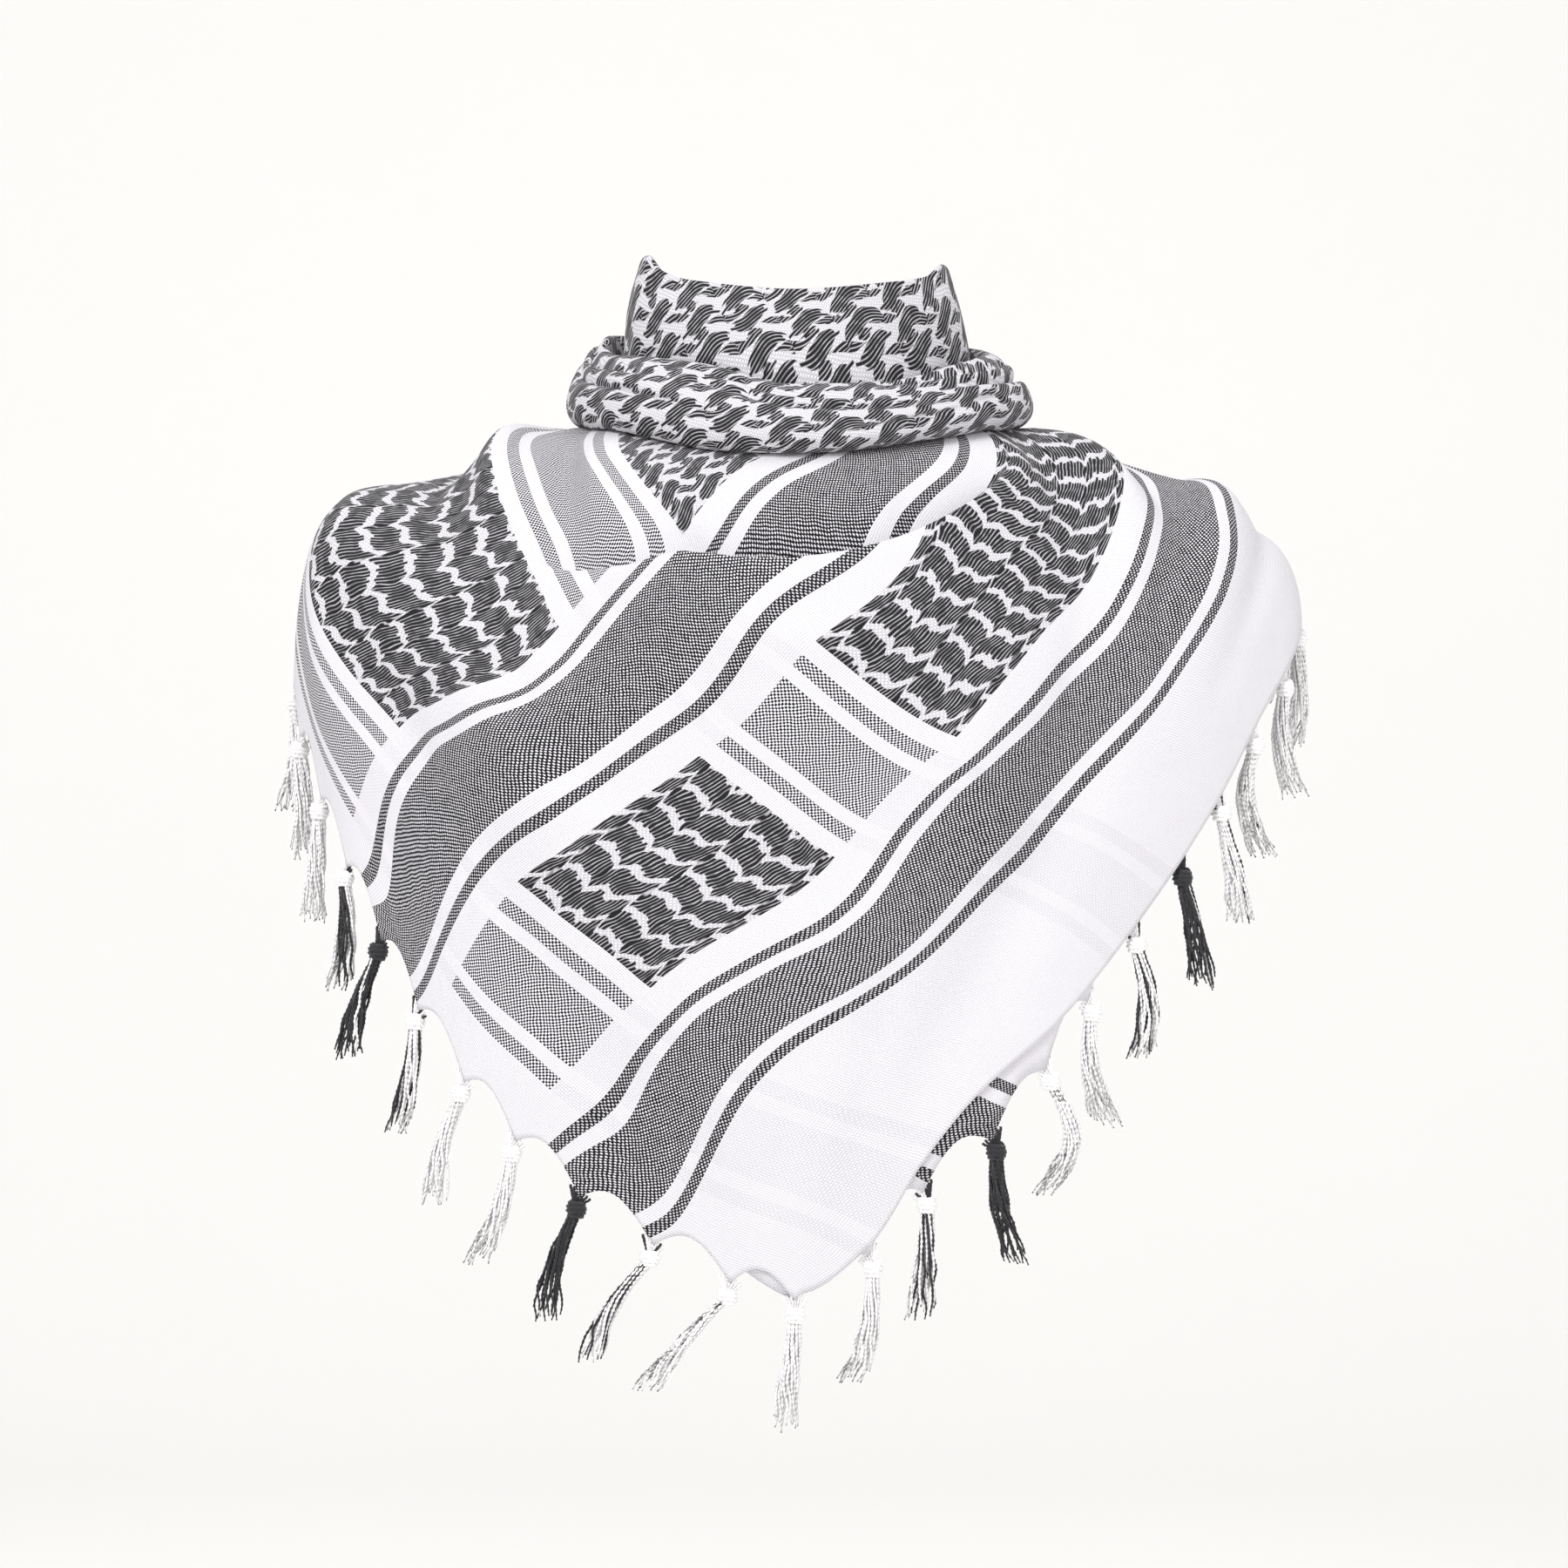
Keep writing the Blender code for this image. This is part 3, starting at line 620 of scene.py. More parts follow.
class Term:
    """A shader value that adds its Math nodes as it is used in an expression."""

    def __init__(self, graph: "Graph", socket: bpy.types.NodeSocket) -> None:
        """Wraps an output socket of a node in the graph."""
        self.graph = graph
        self.socket = socket

    __add__ = operator("ADD")
    __radd__ = operator("ADD", swapped=True)
    __sub__ = operator("SUBTRACT")
    __rsub__ = operator("SUBTRACT", swapped=True)
    __mul__ = operator("MULTIPLY")
    __rmul__ = operator("MULTIPLY", swapped=True)
    __truediv__ = operator("DIVIDE")
    __lt__ = operator("LESS_THAN")
    __gt__ = operator("GREATER_THAN")

    def floor(self) -> "Term":
        """The whole number below."""
        return self.graph.math("FLOOR", self)

    def fraction(self) -> "Term":
        """The part after the whole number."""
        return self.graph.math("FRACT", self)

    def size(self) -> "Term":
        """The value without its sign."""
        return self.graph.math("ABSOLUTE", self)

    def sine(self) -> "Term":
        """The sine, in radians."""
        return self.graph.math("SINE", self)

    def root(self) -> "Term":
        """The square root, 0 under 0."""
        return self.graph.math("SQRT", self.graph.math("MAXIMUM", self, 0.0))

    def least(self, other: "Number") -> "Term":
        """The smaller of two."""
        return self.graph.math("MINIMUM", self, other)

    def most(self, other: "Number") -> "Term":
        """The larger of two."""
        return self.graph.math("MAXIMUM", self, other)

    def rises(self, start: "Number", end: "Number") -> "Term":
        """0 under start and 1 over end, with a smooth step between."""
        return self.graph.node(
            "ShaderNodeMapRange",
            {"interpolation_type": "SMOOTHSTEP"},
            {"Value": self, "From Min": start, "From Max": end},
            "Result",
        )


Number = Union[Term, float, int]


class Graph:
    """A material's node tree, with the few calls that the finishes use."""

    def __init__(self, name: str) -> None:
        """Starts an empty material whose shader is a Principled BSDF."""
        self.material = bpy.data.materials.new(name)
        self.material.use_nodes = True
        self.tree = self.material.node_tree
        self.tree.nodes.clear()
        self.shader = self.tree.nodes.new("ShaderNodeBsdfPrincipled")
        output = self.tree.nodes.new("ShaderNodeOutputMaterial")
        self.tree.links.new(self.shader.outputs["BSDF"], output.inputs["Surface"])

    def feed(self, socket: bpy.types.NodeSocket, value: Union[Number, Colour, Sequence[float]]) -> None:
        """Links a term to a socket, or sets a plain value on it."""
        if isinstance(value, Term):
            self.tree.links.new(value.socket, socket)
        else:
            socket.default_value = value

    def dress(self, inputs: dict[str, Union[Number, Colour]]) -> bpy.types.Material:
        """Feeds the shader's sockets, by name, and returns the material."""
        for name, value in inputs.items():
            self.feed(self.shader.inputs[name], value)
        return self.material

    def bump(self, strength: float, distance: float, height: Term) -> Term:
        """A normal that follows a height."""
        inputs = {"Strength": strength, "Distance": distance, "Height": height}
        return self.node("ShaderNodeBump", {}, inputs, "Normal")

    def fibre(self, scale: float, detail: float = 2.0) -> Term:
        """Smooth noise through the piece's own space."""
        place = self.tree.nodes.new("ShaderNodeTexCoord")
        inputs = {"Vector": Term(self, place.outputs["Object"]), "Scale": scale, "Detail": detail}
        return self.node("ShaderNodeTexNoise", {}, inputs, "Fac")

    def node(self, kind: str, settings: dict, inputs: dict, output: Union[str, int]) -> Term:
        """Adds any node.

        Args:
            kind: the node's type.
            settings: its own settings, made first.
            inputs: values or terms for its sockets, by name or number.
            output: the socket that the term wraps.

        Returns:
            The term.
        """
        made = self.tree.nodes.new(kind)
        for name, value in settings.items():
            setattr(made, name, value)
        for key, value in inputs.items():
            self.feed(made.inputs[key], value)
        return Term(self, made.outputs[output])

    def math(self, operation: str, *values: Number) -> Term:
        """Adds a Math node."""
        return self.node("ShaderNodeMath", {"operation": operation}, dict(enumerate(values)), 0)

    def mix(self, share: Number, a: Union[Term, Colour], b: Union[Term, Colour]) -> Term:
        """Mixes two colours."""
        return self.node(
            "ShaderNodeMix", {"data_type": "RGBA"}, {"Factor": share, 6: a, 7: b}, 2
        )

    def cloth_place(self) -> tuple[Term, Term]:
        """The place on the flat square that a point of the cloth comes from."""
        uv = self.tree.nodes.new("ShaderNodeUVMap")
        uv.uv_map = ClothPiece.uv_name
        split = self.tree.nodes.new("ShaderNodeSeparateXYZ")
        self.tree.links.new(uv.outputs["UV"], split.inputs["Vector"])
        return Term(self, split.outputs["X"]), Term(self, split.outputs["Y"])

    def place(self, x: Number, y: Number, z: Number = 0.0) -> Term:
        """Three values as one vector."""
        return self.node("ShaderNodeCombineXYZ", {}, {"X": x, "Y": y, "Z": z}, "Vector")

    def speckle(self, x: Number, y: Number) -> Term:
        """One random value from 0 to 1 for each whole place."""
        return self.node(
            "ShaderNodeTexWhiteNoise", {"noise_dimensions": "2D"}, {"Vector": self.place(x, y)}, "Value"
        )

    def noise(self, x: Number, y: Number, scale: float, detail: float = 2.0) -> Term:
        """Smooth noise round 0.5 over a place."""
        return self.node(
            "ShaderNodeTexNoise",
            {"noise_dimensions": "2D"},
            {"Vector": self.place(x, y), "Scale": scale, "Detail": detail},
            "Fac",
        )

    def between(self, value: Term, low: float, high: float) -> Term:
        """1 where a value lies between two others."""
        return (value > low) * (value < high)


@dataclass(frozen=True)
class WovenCotton:
    """The scarf's cotton: a plain weave of white and black yarns, with floats that draw its motifs."""

    name: str
    pattern: Pattern
    square: float = 1.10
    yarn_pitch: float = 0.00105
    yarn_wander: float = 1.1
    field_dots: float = 0.26
    white: Colour = (0.765, 0.745, 0.785, 1.0)
    # painted shadow: the white cloth's colour in the hollows between its yarns
    shadow_in_white_weave: Colour = (0.46, 0.445, 0.48, 1.0)
    between_floats: Colour = (0.52, 0.505, 0.535, 1.0)
    # painted shadow: the dark yarns' colour in the hollows between them
    shadow_in_dark_weave: Colour = (0.004, 0.004, 0.005, 1.0)
    black: Colour = (0.014, 0.014, 0.017, 1.0)
    float_black: Colour = (0.010, 0.010, 0.012, 1.0)
    wide_bands: Spans = ((0.088, 0.123), (0.261, 0.305))
    thin_bands: Spans = ((0.075, 0.081), (0.130, 0.136), (0.247, 0.253), (0.313, 0.319))
    wide_sets: Spans = ((0.0455, 0.0755), (0.2205, 0.2505))
    thin_sets: Spans = ((0.032, 0.039), (0.082, 0.089), (0.207, 0.214), (0.257, 0.264))
    outer_row: Pair = (0.154, 0.231)
    panel_row: float = 0.336
    panel: Pair = (0.098, 0.198)
    long_panel: float = 0.273
    float_pitch: float = 0.0017
    star_float_pitch: float = 0.0021
    star_pitch: Pair = (0.0225, 0.0185)
    star_reach: Pair = (0.0102, 0.0056)
    link_reach: Pair = (0.0038, 0.0042)
    knot_reach: Pair = (0.0038, 0.0034)
    wave_pitch: float = 0.0159
    wave_start: float = 0.1036
    wave_reach: float = 0.0060
    wave_repeat: float = 0.0333
    wave_level: float = 0.0256
    right_tail: float = 0.0062
    right_fall: float = 0.24
    right_rise: Pair = (0.95, 1.0)
    left_tail: float = 0.0048
    left_climb: Pair = (0.28, 0.50)
    left_drop: float = 0.56
    lobe: float = 0.0010
    lobe_start: float = 0.27
    lobe_repeat: float = 0.42
    wave_sway: Pair = (0.0125, 0.0007)
    wave_wander: Pair = (75.0, 0.0034)
    wave_rag: float = 0.0022
    star_rag: float = 0.0040
    star_trim: float = 0.6
    star_lean: float = 0.30
    star_turn: float = 0.0070
    star_turn_middle: float = 0.72
    star_bend: float = 0.0009
    row_key: float = 7.0
    link_rag: float = 0.0022
    knot_rag: float = 0.0026
    knot_shift: float = 0.0018
    soft_edge: Pair = (-0.0002, 0.0003)
    loose_scale: float = 170.0
    wander_scale: float = 140.0
    slub_scale: float = 900.0
    slub_stretch: float = 0.12
    tone_scale: float = 22.0

    def _inside(self, graph: Graph, value: Term, spans: Sequence[Pair]) -> Term:
        """1 inside any of several spans."""
        total = graph.between(value, *spans[0])
        for span in spans[1:]:
            total = total + graph.between(value, *span)
        return total

    def _lanes(self, graph: Graph, t: Term, key: Term, pitch: float) -> tuple[Term, Term]:
        """The float yarns that lie side by side: a random value for each, and the gaps between them."""
        lane = t / pitch
        return graph.speckle(lane.floor(), key), ((lane.fraction() - 0.5).size() * 2.0).rises(0.50, 0.92)

    def _bundle(self, x: Term, y: Term, reach: Pair, ragged: Term) -> tuple[Term, Term]:
        """A bundle of floats, longest in its middle.

        Args:
            x: place along the floats, from the bundle's middle.
            y: place across them.
            reach: half its length and half its width.
            ragged: how much further each float goes.

        Returns:
            1 inside the bundle, and how near a place is to the floats' ends.
        """
        share = y / reach[1]
        half = (1.0 - share * share).root() * reach[0]
        inside = (half + ragged - x.size()).rises(*self.soft_edge) * (share.size() < 1.0)
        return inside, (x.size() / (half + 0.001)).rises(0.35, 1.0)

    def _gaps(self, graph: Graph, s: Term, t: Term, between: Term, ends: Term) -> Term:
        """How light the cloth shows between floats: most at their ends, least where they clump."""
        loose = graph.noise(s, t, self.loose_scale, 1.0).rises(0.40, 0.60)
        return between * (0.42 + 0.58 * ends.most(loose))

    def _stars(self, graph: Graph, s: Term, t: Term) -> tuple[Term, Term]:
        """Where black floats leave the white stars of the field open.

        A big bundle of floats swings through the middle of every repeat, and a small slanting one
        links it to the next.

        Args:
            graph: the material.
            s: place across the fringed edge.
            t: place across the selvage.

        Returns:
            The floats' mask and the lightness between them.
        """
        pitch_s, pitch_t = self.star_pitch
        column = (s / pitch_s).floor()
        row = (t / pitch_t).floor()
        x = ((s / pitch_s).fraction() - 0.5) * pitch_s
        y = ((t / pitch_t).fraction() - 0.5) * pitch_t
        sway = x / self.star_reach[0]
        turn = (graph.speckle(column, row) - self.star_turn_middle) * self.star_turn
        bent = y - sway * sway * turn - (sway * math.pi).sine() * self.star_bend
        key = column + row * self.row_key
        lane_random, between = self._lanes(graph, bent, key, self.star_float_pitch)
        ragged = (lane_random - self.star_trim) * self.star_rag
        lens, ends = self._bundle(x - bent * self.star_lean, bent, self.star_reach, ragged)
        link_x = ((s / pitch_s + 0.5).fraction() - 0.5) * pitch_s
        link_y = ((t / pitch_t + 0.5).fraction() - 0.5) * pitch_t
        along = link_x + link_y * (pitch_s / pitch_t)
        link = self.link_reach[0] + (lane_random - 0.5) * self.link_rag - along.size()
        link = link.rises(*self.soft_edge)
        link = link * (link_y.size() < self.link_reach[1])
        ragged = (lane_random - 0.5) * self.knot_rag
        knot, _ = self._bundle(x + self.knot_shift, link_y, self.knot_reach, ragged)
        return lens.most(link).most(knot), self._gaps(graph, s, t, between, ends)

    def _waves(self, graph: Graph, s: Term, t: Term) -> tuple[Term, Term]:
        """Where black floats leave the white wave lines open.

        The floats of a chain run side by side. At every repeat the chain draws out into a pointed
        tail on one side, and half a repeat on into a tail on the other.

        Args:
            graph: the material.
            s: place across the fringed edge.
            t: place across the selvage.

        Returns:
            The floats' mask and the lightness between them.
        """
        phase = ((t - self.wave_level) / self.wave_repeat).fraction()
        fall = 1.0 - phase / self.right_fall
        rise = phase.rises(*self.right_rise)
        right = (fall * fall * (phase < self.right_fall)).most(rise) * self.right_tail
        foot, peak = self.left_climb
        climb = (phase - foot) / (peak - foot)
        drop = 1.0 - (phase - peak) / (self.left_drop - peak)
        left = climb * climb * graph.between(phase, foot, peak)
        left = left + graph.between(phase, peak, self.left_drop) * drop
        lobes = ((phase - self.lobe_start) * (2 * math.pi / self.lobe_repeat)).sine() * self.lobe
        place = (s - self.wave_start - right + left * self.left_tail - lobes) / self.wave_pitch
        chain = place.floor()
        x = (place.fraction() - 0.5) * self.wave_pitch
        sway = (x * (math.pi / self.wave_sway[0])).sine() * self.wave_sway[1]
        wander = (graph.noise(s, t, self.wave_wander[0], 1.0) - 0.5) * self.wave_wander[1]
        bent = t + sway + wander
        lane_random, between = self._lanes(graph, bent, chain, self.float_pitch)
        inside = self.wave_reach + (lane_random - 0.5) * self.wave_rag - x.size()
        inside = inside.rises(*self.soft_edge)
        ends = (x.size() / self.wave_reach).rises(0.45, 1.0)
        return inside, self._gaps(graph, s, t, between, ends)

    def _weave(self, graph: Graph, s: Term, t: Term) -> tuple[Term, Term]:
        """The plain weave: 1 where the yarn along s is on top, and the height of the yarns."""
        wander = self.yarn_wander
        u = s / self.yarn_pitch + graph.noise(s, t, self.wander_scale, 1.0) * wander
        v = t / self.yarn_pitch + graph.noise(t + 3.1, s, self.wander_scale, 1.0) * wander
        warp_up = ((u.floor() + v.floor()) * 0.5).fraction() > 0.25
        crown_s = ((u.fraction()) * math.pi).sine()
        crown_t = ((v.fraction()) * math.pi).sine()
        across = warp_up * crown_t + (1.0 - warp_up) * crown_s
        along = warp_up * crown_s + (1.0 - warp_up) * crown_t
        return warp_up, across * (0.55 + 0.45 * along)

    def build(self) -> bpy.types.Material:
        """Makes the material."""
        graph = Graph(self.name)
        raw_s, raw_t = graph.cloth_place()
        half = 0.5 * self.square
        warp_up, height = self._weave(graph, raw_s, raw_t)
        slub = graph.noise(raw_s * self.slub_stretch, raw_t, self.slub_scale)
        slub = slub + graph.noise(raw_s, raw_t * self.slub_stretch, self.slub_scale)
        star, star_gap = self._stars(graph, raw_s, raw_t)
        if self.pattern is Pattern.WHOLE_SQUARE:
            s = half - (raw_s - half).size()
            t = half - (raw_t - half).size()
            wave, wave_gap = self._waves(graph, s, t)
            rows = graph.between(t, *self.outer_row) + (t > self.panel_row)
            in_panel = graph.between(s, *self.panel)
            in_long = s > self.long_panel
            wave_here = (rows * in_panel + graph.between(t, *self.outer_row) * in_long) * wave
            star_here = in_long * (t > self.panel_row) * star
            floats = wave_here + star_here
            gap = wave_here * wave_gap + star_here * star_gap
            wide = self._inside(graph, t, self.wide_bands)
            thin = self._inside(graph, t, self.thin_bands)
            sets = self._inside(graph, s, self.wide_sets) + self._inside(graph, s, self.thin_sets)
            spot = (1.0 - warp_up) * (height + (slub - 1.0) * 0.5).rises(0.30, 0.62)
            dark_warp = (wide + thin) * (1.0 - spot * (0.92 - 0.15 * thin))
            dark_weft = sets * (1.0 - warp_up) * (0.10 + 0.90 * rows)
            field = rows * (in_panel + in_long)
            dark = dark_warp.most(dark_weft).most(field * self.field_dots * (1.0 - warp_up))
        else:
            floats = star
            gap = star * star_gap
            dark = self.field_dots * (1.0 - warp_up)
        tone = graph.noise(raw_s, raw_t, self.tone_scale)
        # Painted shadow in the weave: the ground darkens to its shadow colour where the yarns dip and is
        # lightest on their crowns; the tone and slub noise are the cloth's own colour.
        lit_crowns = height.rises(0.05, 0.75)
        ground = graph.mix((lit_crowns * 0.85 + tone * 0.10 + slub * 0.05).least(1.0), self.shadow_in_white_weave, self.white)
        # Painted shadow: in the dark stripes the black yarns darken further towards the hollows between their
        # crowns.
        woven = graph.mix(dark, ground, graph.mix(height, self.shadow_in_dark_weave, self.black))
        float_tone = graph.mix(gap * 0.85, self.float_black, self.between_floats)
        raised = height * (1.0 - floats) * 0.6 + floats * (1.0 - gap) * 1.3
        return graph.dress({
            "Base Color": graph.mix(floats, woven, float_tone),
            "Roughness": 0.86 - floats * 0.22 + tone * 0.06,
            "Normal": graph.bump(0.55, 0.0004, raised),
            "Sheen Weight": 0.03,
            "Sheen Roughness": 0.5,
            "Specular IOR Level": 0.15,
        })


@dataclass(frozen=True)
class SpunYarn:
    """The tassels' loosely spun cotton: light and dark strands by their own attribute."""

    yarn: Yarn
    light: Colour = (0.93, 0.91, 0.92, 1.0)
    dark: Colour = (0.018, 0.018, 0.022, 1.0)
    shadow: Colour = (0.02, 0.02, 0.025, 1.0)
    shading: float = 0.18
    fibre_scale: float = 1400.0
    tint_name: str = "tint"

    def build(self) -> bpy.types.Material:
        """Makes the material."""
        graph = Graph(self.yarn.value + "_spun")
        fibre = graph.fibre(self.fibre_scale, 3.0)
        tint = graph.node("ShaderNodeAttribute", {"attribute_name": self.tint_name}, {}, "Fac")
        strand = graph.mix(tint, self.light, self.dark)
        deep = graph.mix(self.shading, strand, self.shadow)
        return graph.dress({
            "Base Color": graph.mix(fibre.rises(0.3, 0.6), deep, strand),
            "Roughness": 0.8 + fibre * 0.15,
            "Normal": graph.bump(0.5, 0.0003, fibre),
            "Sheen Weight": 0.2,
        })


@dataclass(frozen=True)
class StudioPaper:
    """Pale paper for the floor and the backdrop."""

    colour: Colour = (0.96, 0.955, 0.945, 1.0)
    mottle: float = 0.985

    def build(self) -> bpy.types.Material:
        """Makes the material."""
        graph = Graph("studio_paper")
        darker = tuple(self.mottle * part for part in self.colour[:3]) + (1.0,)
        grain = graph.mix(graph.fibre(3.0), darker, self.colour)
        return graph.dress({"Base Color": grain, "Roughness": 0.95})


def add_object(name: str, data: bpy.types.ID) -> bpy.types.Object:
    """Puts a new object with its data into the scene, at the origin."""
    item = bpy.data.objects.new(name, data)
    bpy.context.scene.collection.objects.link(item)
    return item


@dataclass
class ClothPiece:
    """A wall of the scarf's cloth through a grid of points that closes round the neck."""

    name: str
    nodes: tuple[str, ...]
    slot: str
    finish: bpy.types.Material
    thickness: float = 0.0010
    uv_name: str = field(default="cloth", init=False, repr=False)

    @staticmethod
    def quads(row: Array, column: Array, beside: Array, width: int) -> Array:
        """The four corners of each face of a grid, by their numbers.

        Args:
            row: the rows.
            column: the columns.
            beside: the column after each.
            width: how many columns there are.

        Returns:
            The corners, one face a row.
        """
        upper, lower = row * width, (row + 1) * width
        corners = (upper + column, lower + column, lower + beside, upper + beside)
        return np.stack(np.broadcast_arrays(*corners), axis=-1).reshape(-1, 4)

    def skin(self, points: Array, cloth: Array) -> bpy.types.Object:
        """Makes the wall.

        Args:
            points: rows of points from the top down or outside in, without a repeat at the seam.
            cloth: places on the flat square, with one more column for the far side of the seam.

        Returns:
            The piece.
        """
        rows, columns = points.shape[:2]
        r = np.arange(rows - 1)[:, None]
        c = np.arange(columns)[None, :]
        faces = self.quads(r, c, (c + 1) % columns, columns)
        mesh = bpy.data.meshes.new(self.name)
        mesh.from_pydata(points.reshape(-1, 3).tolist(), [], faces.tolist())
        corners = self.quads(r, c, c + 1, columns + 1).reshape(-1)
        layer = mesh.uv_layers.new(name=self.uv_name)
        layer.data.foreach_set("uv", cloth.reshape(-1, 2)[corners].astype(np.float32).ravel())
        mesh.shade_smooth()
        mesh.materials.append(self.finish)
        piece = add_object(self.name, mesh)
        wall = piece.modifiers.new("Wall", "SOLIDIFY")
        wall.thickness = self.thickness
        wall.offset = -1.0
        wall.use_even_offset = False
        return piece

    def declare(self, piece: bpy.types.Object) -> None:
        """Args:
            piece: the piece.
        """
        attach(piece, "root")
        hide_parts(*self.nodes)
        report(piece)


def report(piece: bpy.types.Object) -> None:
    """Logs a finished piece and its number of faces."""
    LOG.info("%s: %d faces", piece.name, len(piece.data.polygons))


def spline_rows(stations: Array, counts: Sequence[int]) -> Array:
    """Runs smooth curves down through stations.

    Args:
        stations: values by station, then by column.
        counts: rows in each interval between stations.

    Returns:
        Values by row, then by column.
    """
    last = len(stations) - 1
    rows = []
    for k, count in enumerate(counts):
        a, b = stations[k], stations[k + 1]
        slope_a = 0.5 * (b - stations[k - 1]) if k > 0 else b - a
        slope_b = 0.5 * (stations[k + 2] - a) if k + 1 < last else b - a
        for step in range(count):
            rows.append(hermite(a, b, slope_a, slope_b, step / count))
    rows.append(stations[-1])
    return np.stack(rows)


def lengths_down(points: Array) -> Array:
    """How far each point of a grid lies from the first row, along its column."""
    steps = np.linalg.norm(np.diff(points, axis=0), axis=-1)
    return np.concatenate((np.zeros((1, points.shape[1])), np.cumsum(steps, axis=0)))


def closed_round(points: Array) -> Array:
    """The same grid with its first column again at the end."""
    return np.concatenate((points, points[:, :1]), axis=1)


@dataclass
class Bib:
    """The two layers of the folded square, from the neck to its corner and over the shoulders."""

    drape: Drape
    knots: Knots
    view: View
    columns: int = 400
    under_columns: int = 300
    scallop_depth: float = 0.009
    selvage_rise: float = 0.25
    swag_height: float = 0.015
    swag_overlap: float = 0.14
    hem_shares: tuple[float, ...] = (0.09, 0.20, 0.31, 0.43, 0.56, 0.69, 0.81, 0.92)
    swag_lifts: tuple[float, ...] = (0.94, 0.62, 0.30, 0.10, 0.0, 0.0, 0.0, 0.0)
    top_rows: tuple[int, ...] = (7, 9, 9, 8, 7, 7, 7, 7, 8, 8, 8, 8, 7)
    under_rows: tuple[int, ...] = (3, 4, 4, 3, 3, 3, 3, 4, 4, 4, 4, 4)
    crowding: float = 0.35
    chart_start: float = 0.08
    chart_turn: float = 0.70
    first_places: tuple[float, ...] = (0.030, 0.070, 0.1055)
    place_step: float = 0.0443
    under_edge: Pair = (1.15, 8.0)
    short_wing: float = 0.035
    crest_limit: float = 0.55
    crest_shares: tuple[float, ...] = (0.0, 0.34, 0.68, 1.0)
    field_slack: float = 0.0004
    near_pixels: float = 9.0
    same_depth: float = 0.006
    furthest_step: float = 1.5
    flat: Pair = (0.66, 0.66)
    top_share: float = 0.48
    under_share: float = 0.46

    def bearings(self, count: int, stops: Sequence[float]) -> Array:
        """Bearings of the columns, closer together in front, with one on each knot."""
        u = np.linspace(-1.0, 1.0, count + 1)[:-1]
        places = 180.0 * (u - self.crowding * np.sin(math.pi * u) / math.pi)
        for stop in stops:
            places[np.argmin(np.abs(places - stop))] = stop
        return places

    def scallop(self, bearing: Array, stops: Array) -> Array:
        """How far the fringed edge draws up: 0 at a knot and 1 half way between two."""
        k = np.clip(np.searchsorted(stops, bearing, side="right") - 1, 0, len(stops) - 2)
        share = (bearing - stops[k]) / (stops[k + 1] - stops[k])
        inside = (bearing >= stops[0]) & (bearing <= stops[-1])
        return np.where(inside, np.sin(math.pi * np.clip(share, 0, 1)), 0.0)

    def edge_rise(self, end: Array, share: Array) -> Array:
        """How far an edge draws up, in ring levels; less where the wing is short."""
        return share * np.minimum(self.scallop_depth / self.drape.level_spacing, self.short_wing * end)

    def stations(self, bearing: Array) -> tuple[list[Array], Array]:
        """Levels from the neck to just above the hem, and the swag's strength."""
        end = self.drape.hem(bearing)
        crest = np.minimum(ring_values(SWAG, "level", bearing), self.crest_limit * end)
        levels = [share * crest for share in self.crest_shares]
        levels += [crest + share * (end - crest) for share in self.hem_shares]
        return levels, ring_values(SWAG, "strength", bearing)

    def chart(self, points: Array, bearing: Array) -> Array:
        """Lays the columns out flat, by their own lengths, in a fan about the neck."""
        gone = lengths_down(points)
        radius = self.chart_start + gone
        angle = np.radians(bearing * self.chart_turn)[None, :]
        return np.stack((radius * np.sin(angle), -radius * np.cos(angle)), axis=-1)

    def top_points(self, bearing: Array) -> Array:
        """Points of the top layer; it doubles over itself at the swag."""
        levels, strength = self.stations(bearing)
        lap = self.swag_overlap * strength
        lift = self.swag_height * strength
        crest = levels[3]
        rest = 0.5 * (levels[4] - crest) * (1 - strength)
        rows = [(level, 0.0 * lift) for level in levels[:3]]
        rows += [(crest + lap - rest, 0.0 * lift), (crest - lap + rest, lift)]
        rows += [(level, share * lift) for level, share in zip(levels[4:], self.swag_lifts)]
        full = self.drape.hem(bearing)
        stops = np.array(sorted([0.0] + self.knots.along(Side.LEFT)[0]))
        share = np.where(bearing > 0, self.selvage_rise, self.scallop(bearing, stops))
        rows.append((full - self.edge_rise(full, share), 0.0 * lift))
        level = spline_rows(np.stack([row[0] for row in rows]), self.top_rows)
        height = spline_rows(np.stack([row[1] for row in rows]), self.top_rows)
        around = np.broadcast_to(bearing, level.shape)
        small = self.drape.lift(self.drape.creases, around, level)
        return self.drape.lying(around, level, height + small)

    def under_points(self, bearing: Array) -> Array:
        """Points of the under layer."""
        levels, _ = self.stations(bearing)
        full = self.drape.hem(bearing, np.where(bearing >= 0, self.drape.droop_depth, 0.0))
        stops = np.array([0.0] + self.knots.along(Side.RIGHT)[0])
        most, reached = self.under_edge
        share = np.where(bearing < 0, np.minimum(most, -bearing / reached), self.scallop(bearing, stops))
        level = spline_rows(np.stack(levels + [full - self.edge_rise(full, share)]), self.under_rows)
        around = np.broadcast_to(bearing, level.shape)
        small = self.drape.lift(self.drape.creases, around, level)
        out = self.drape.out(self.drape.lying, around, level)
        return self.drape.under(around, level) + out * small[..., None]

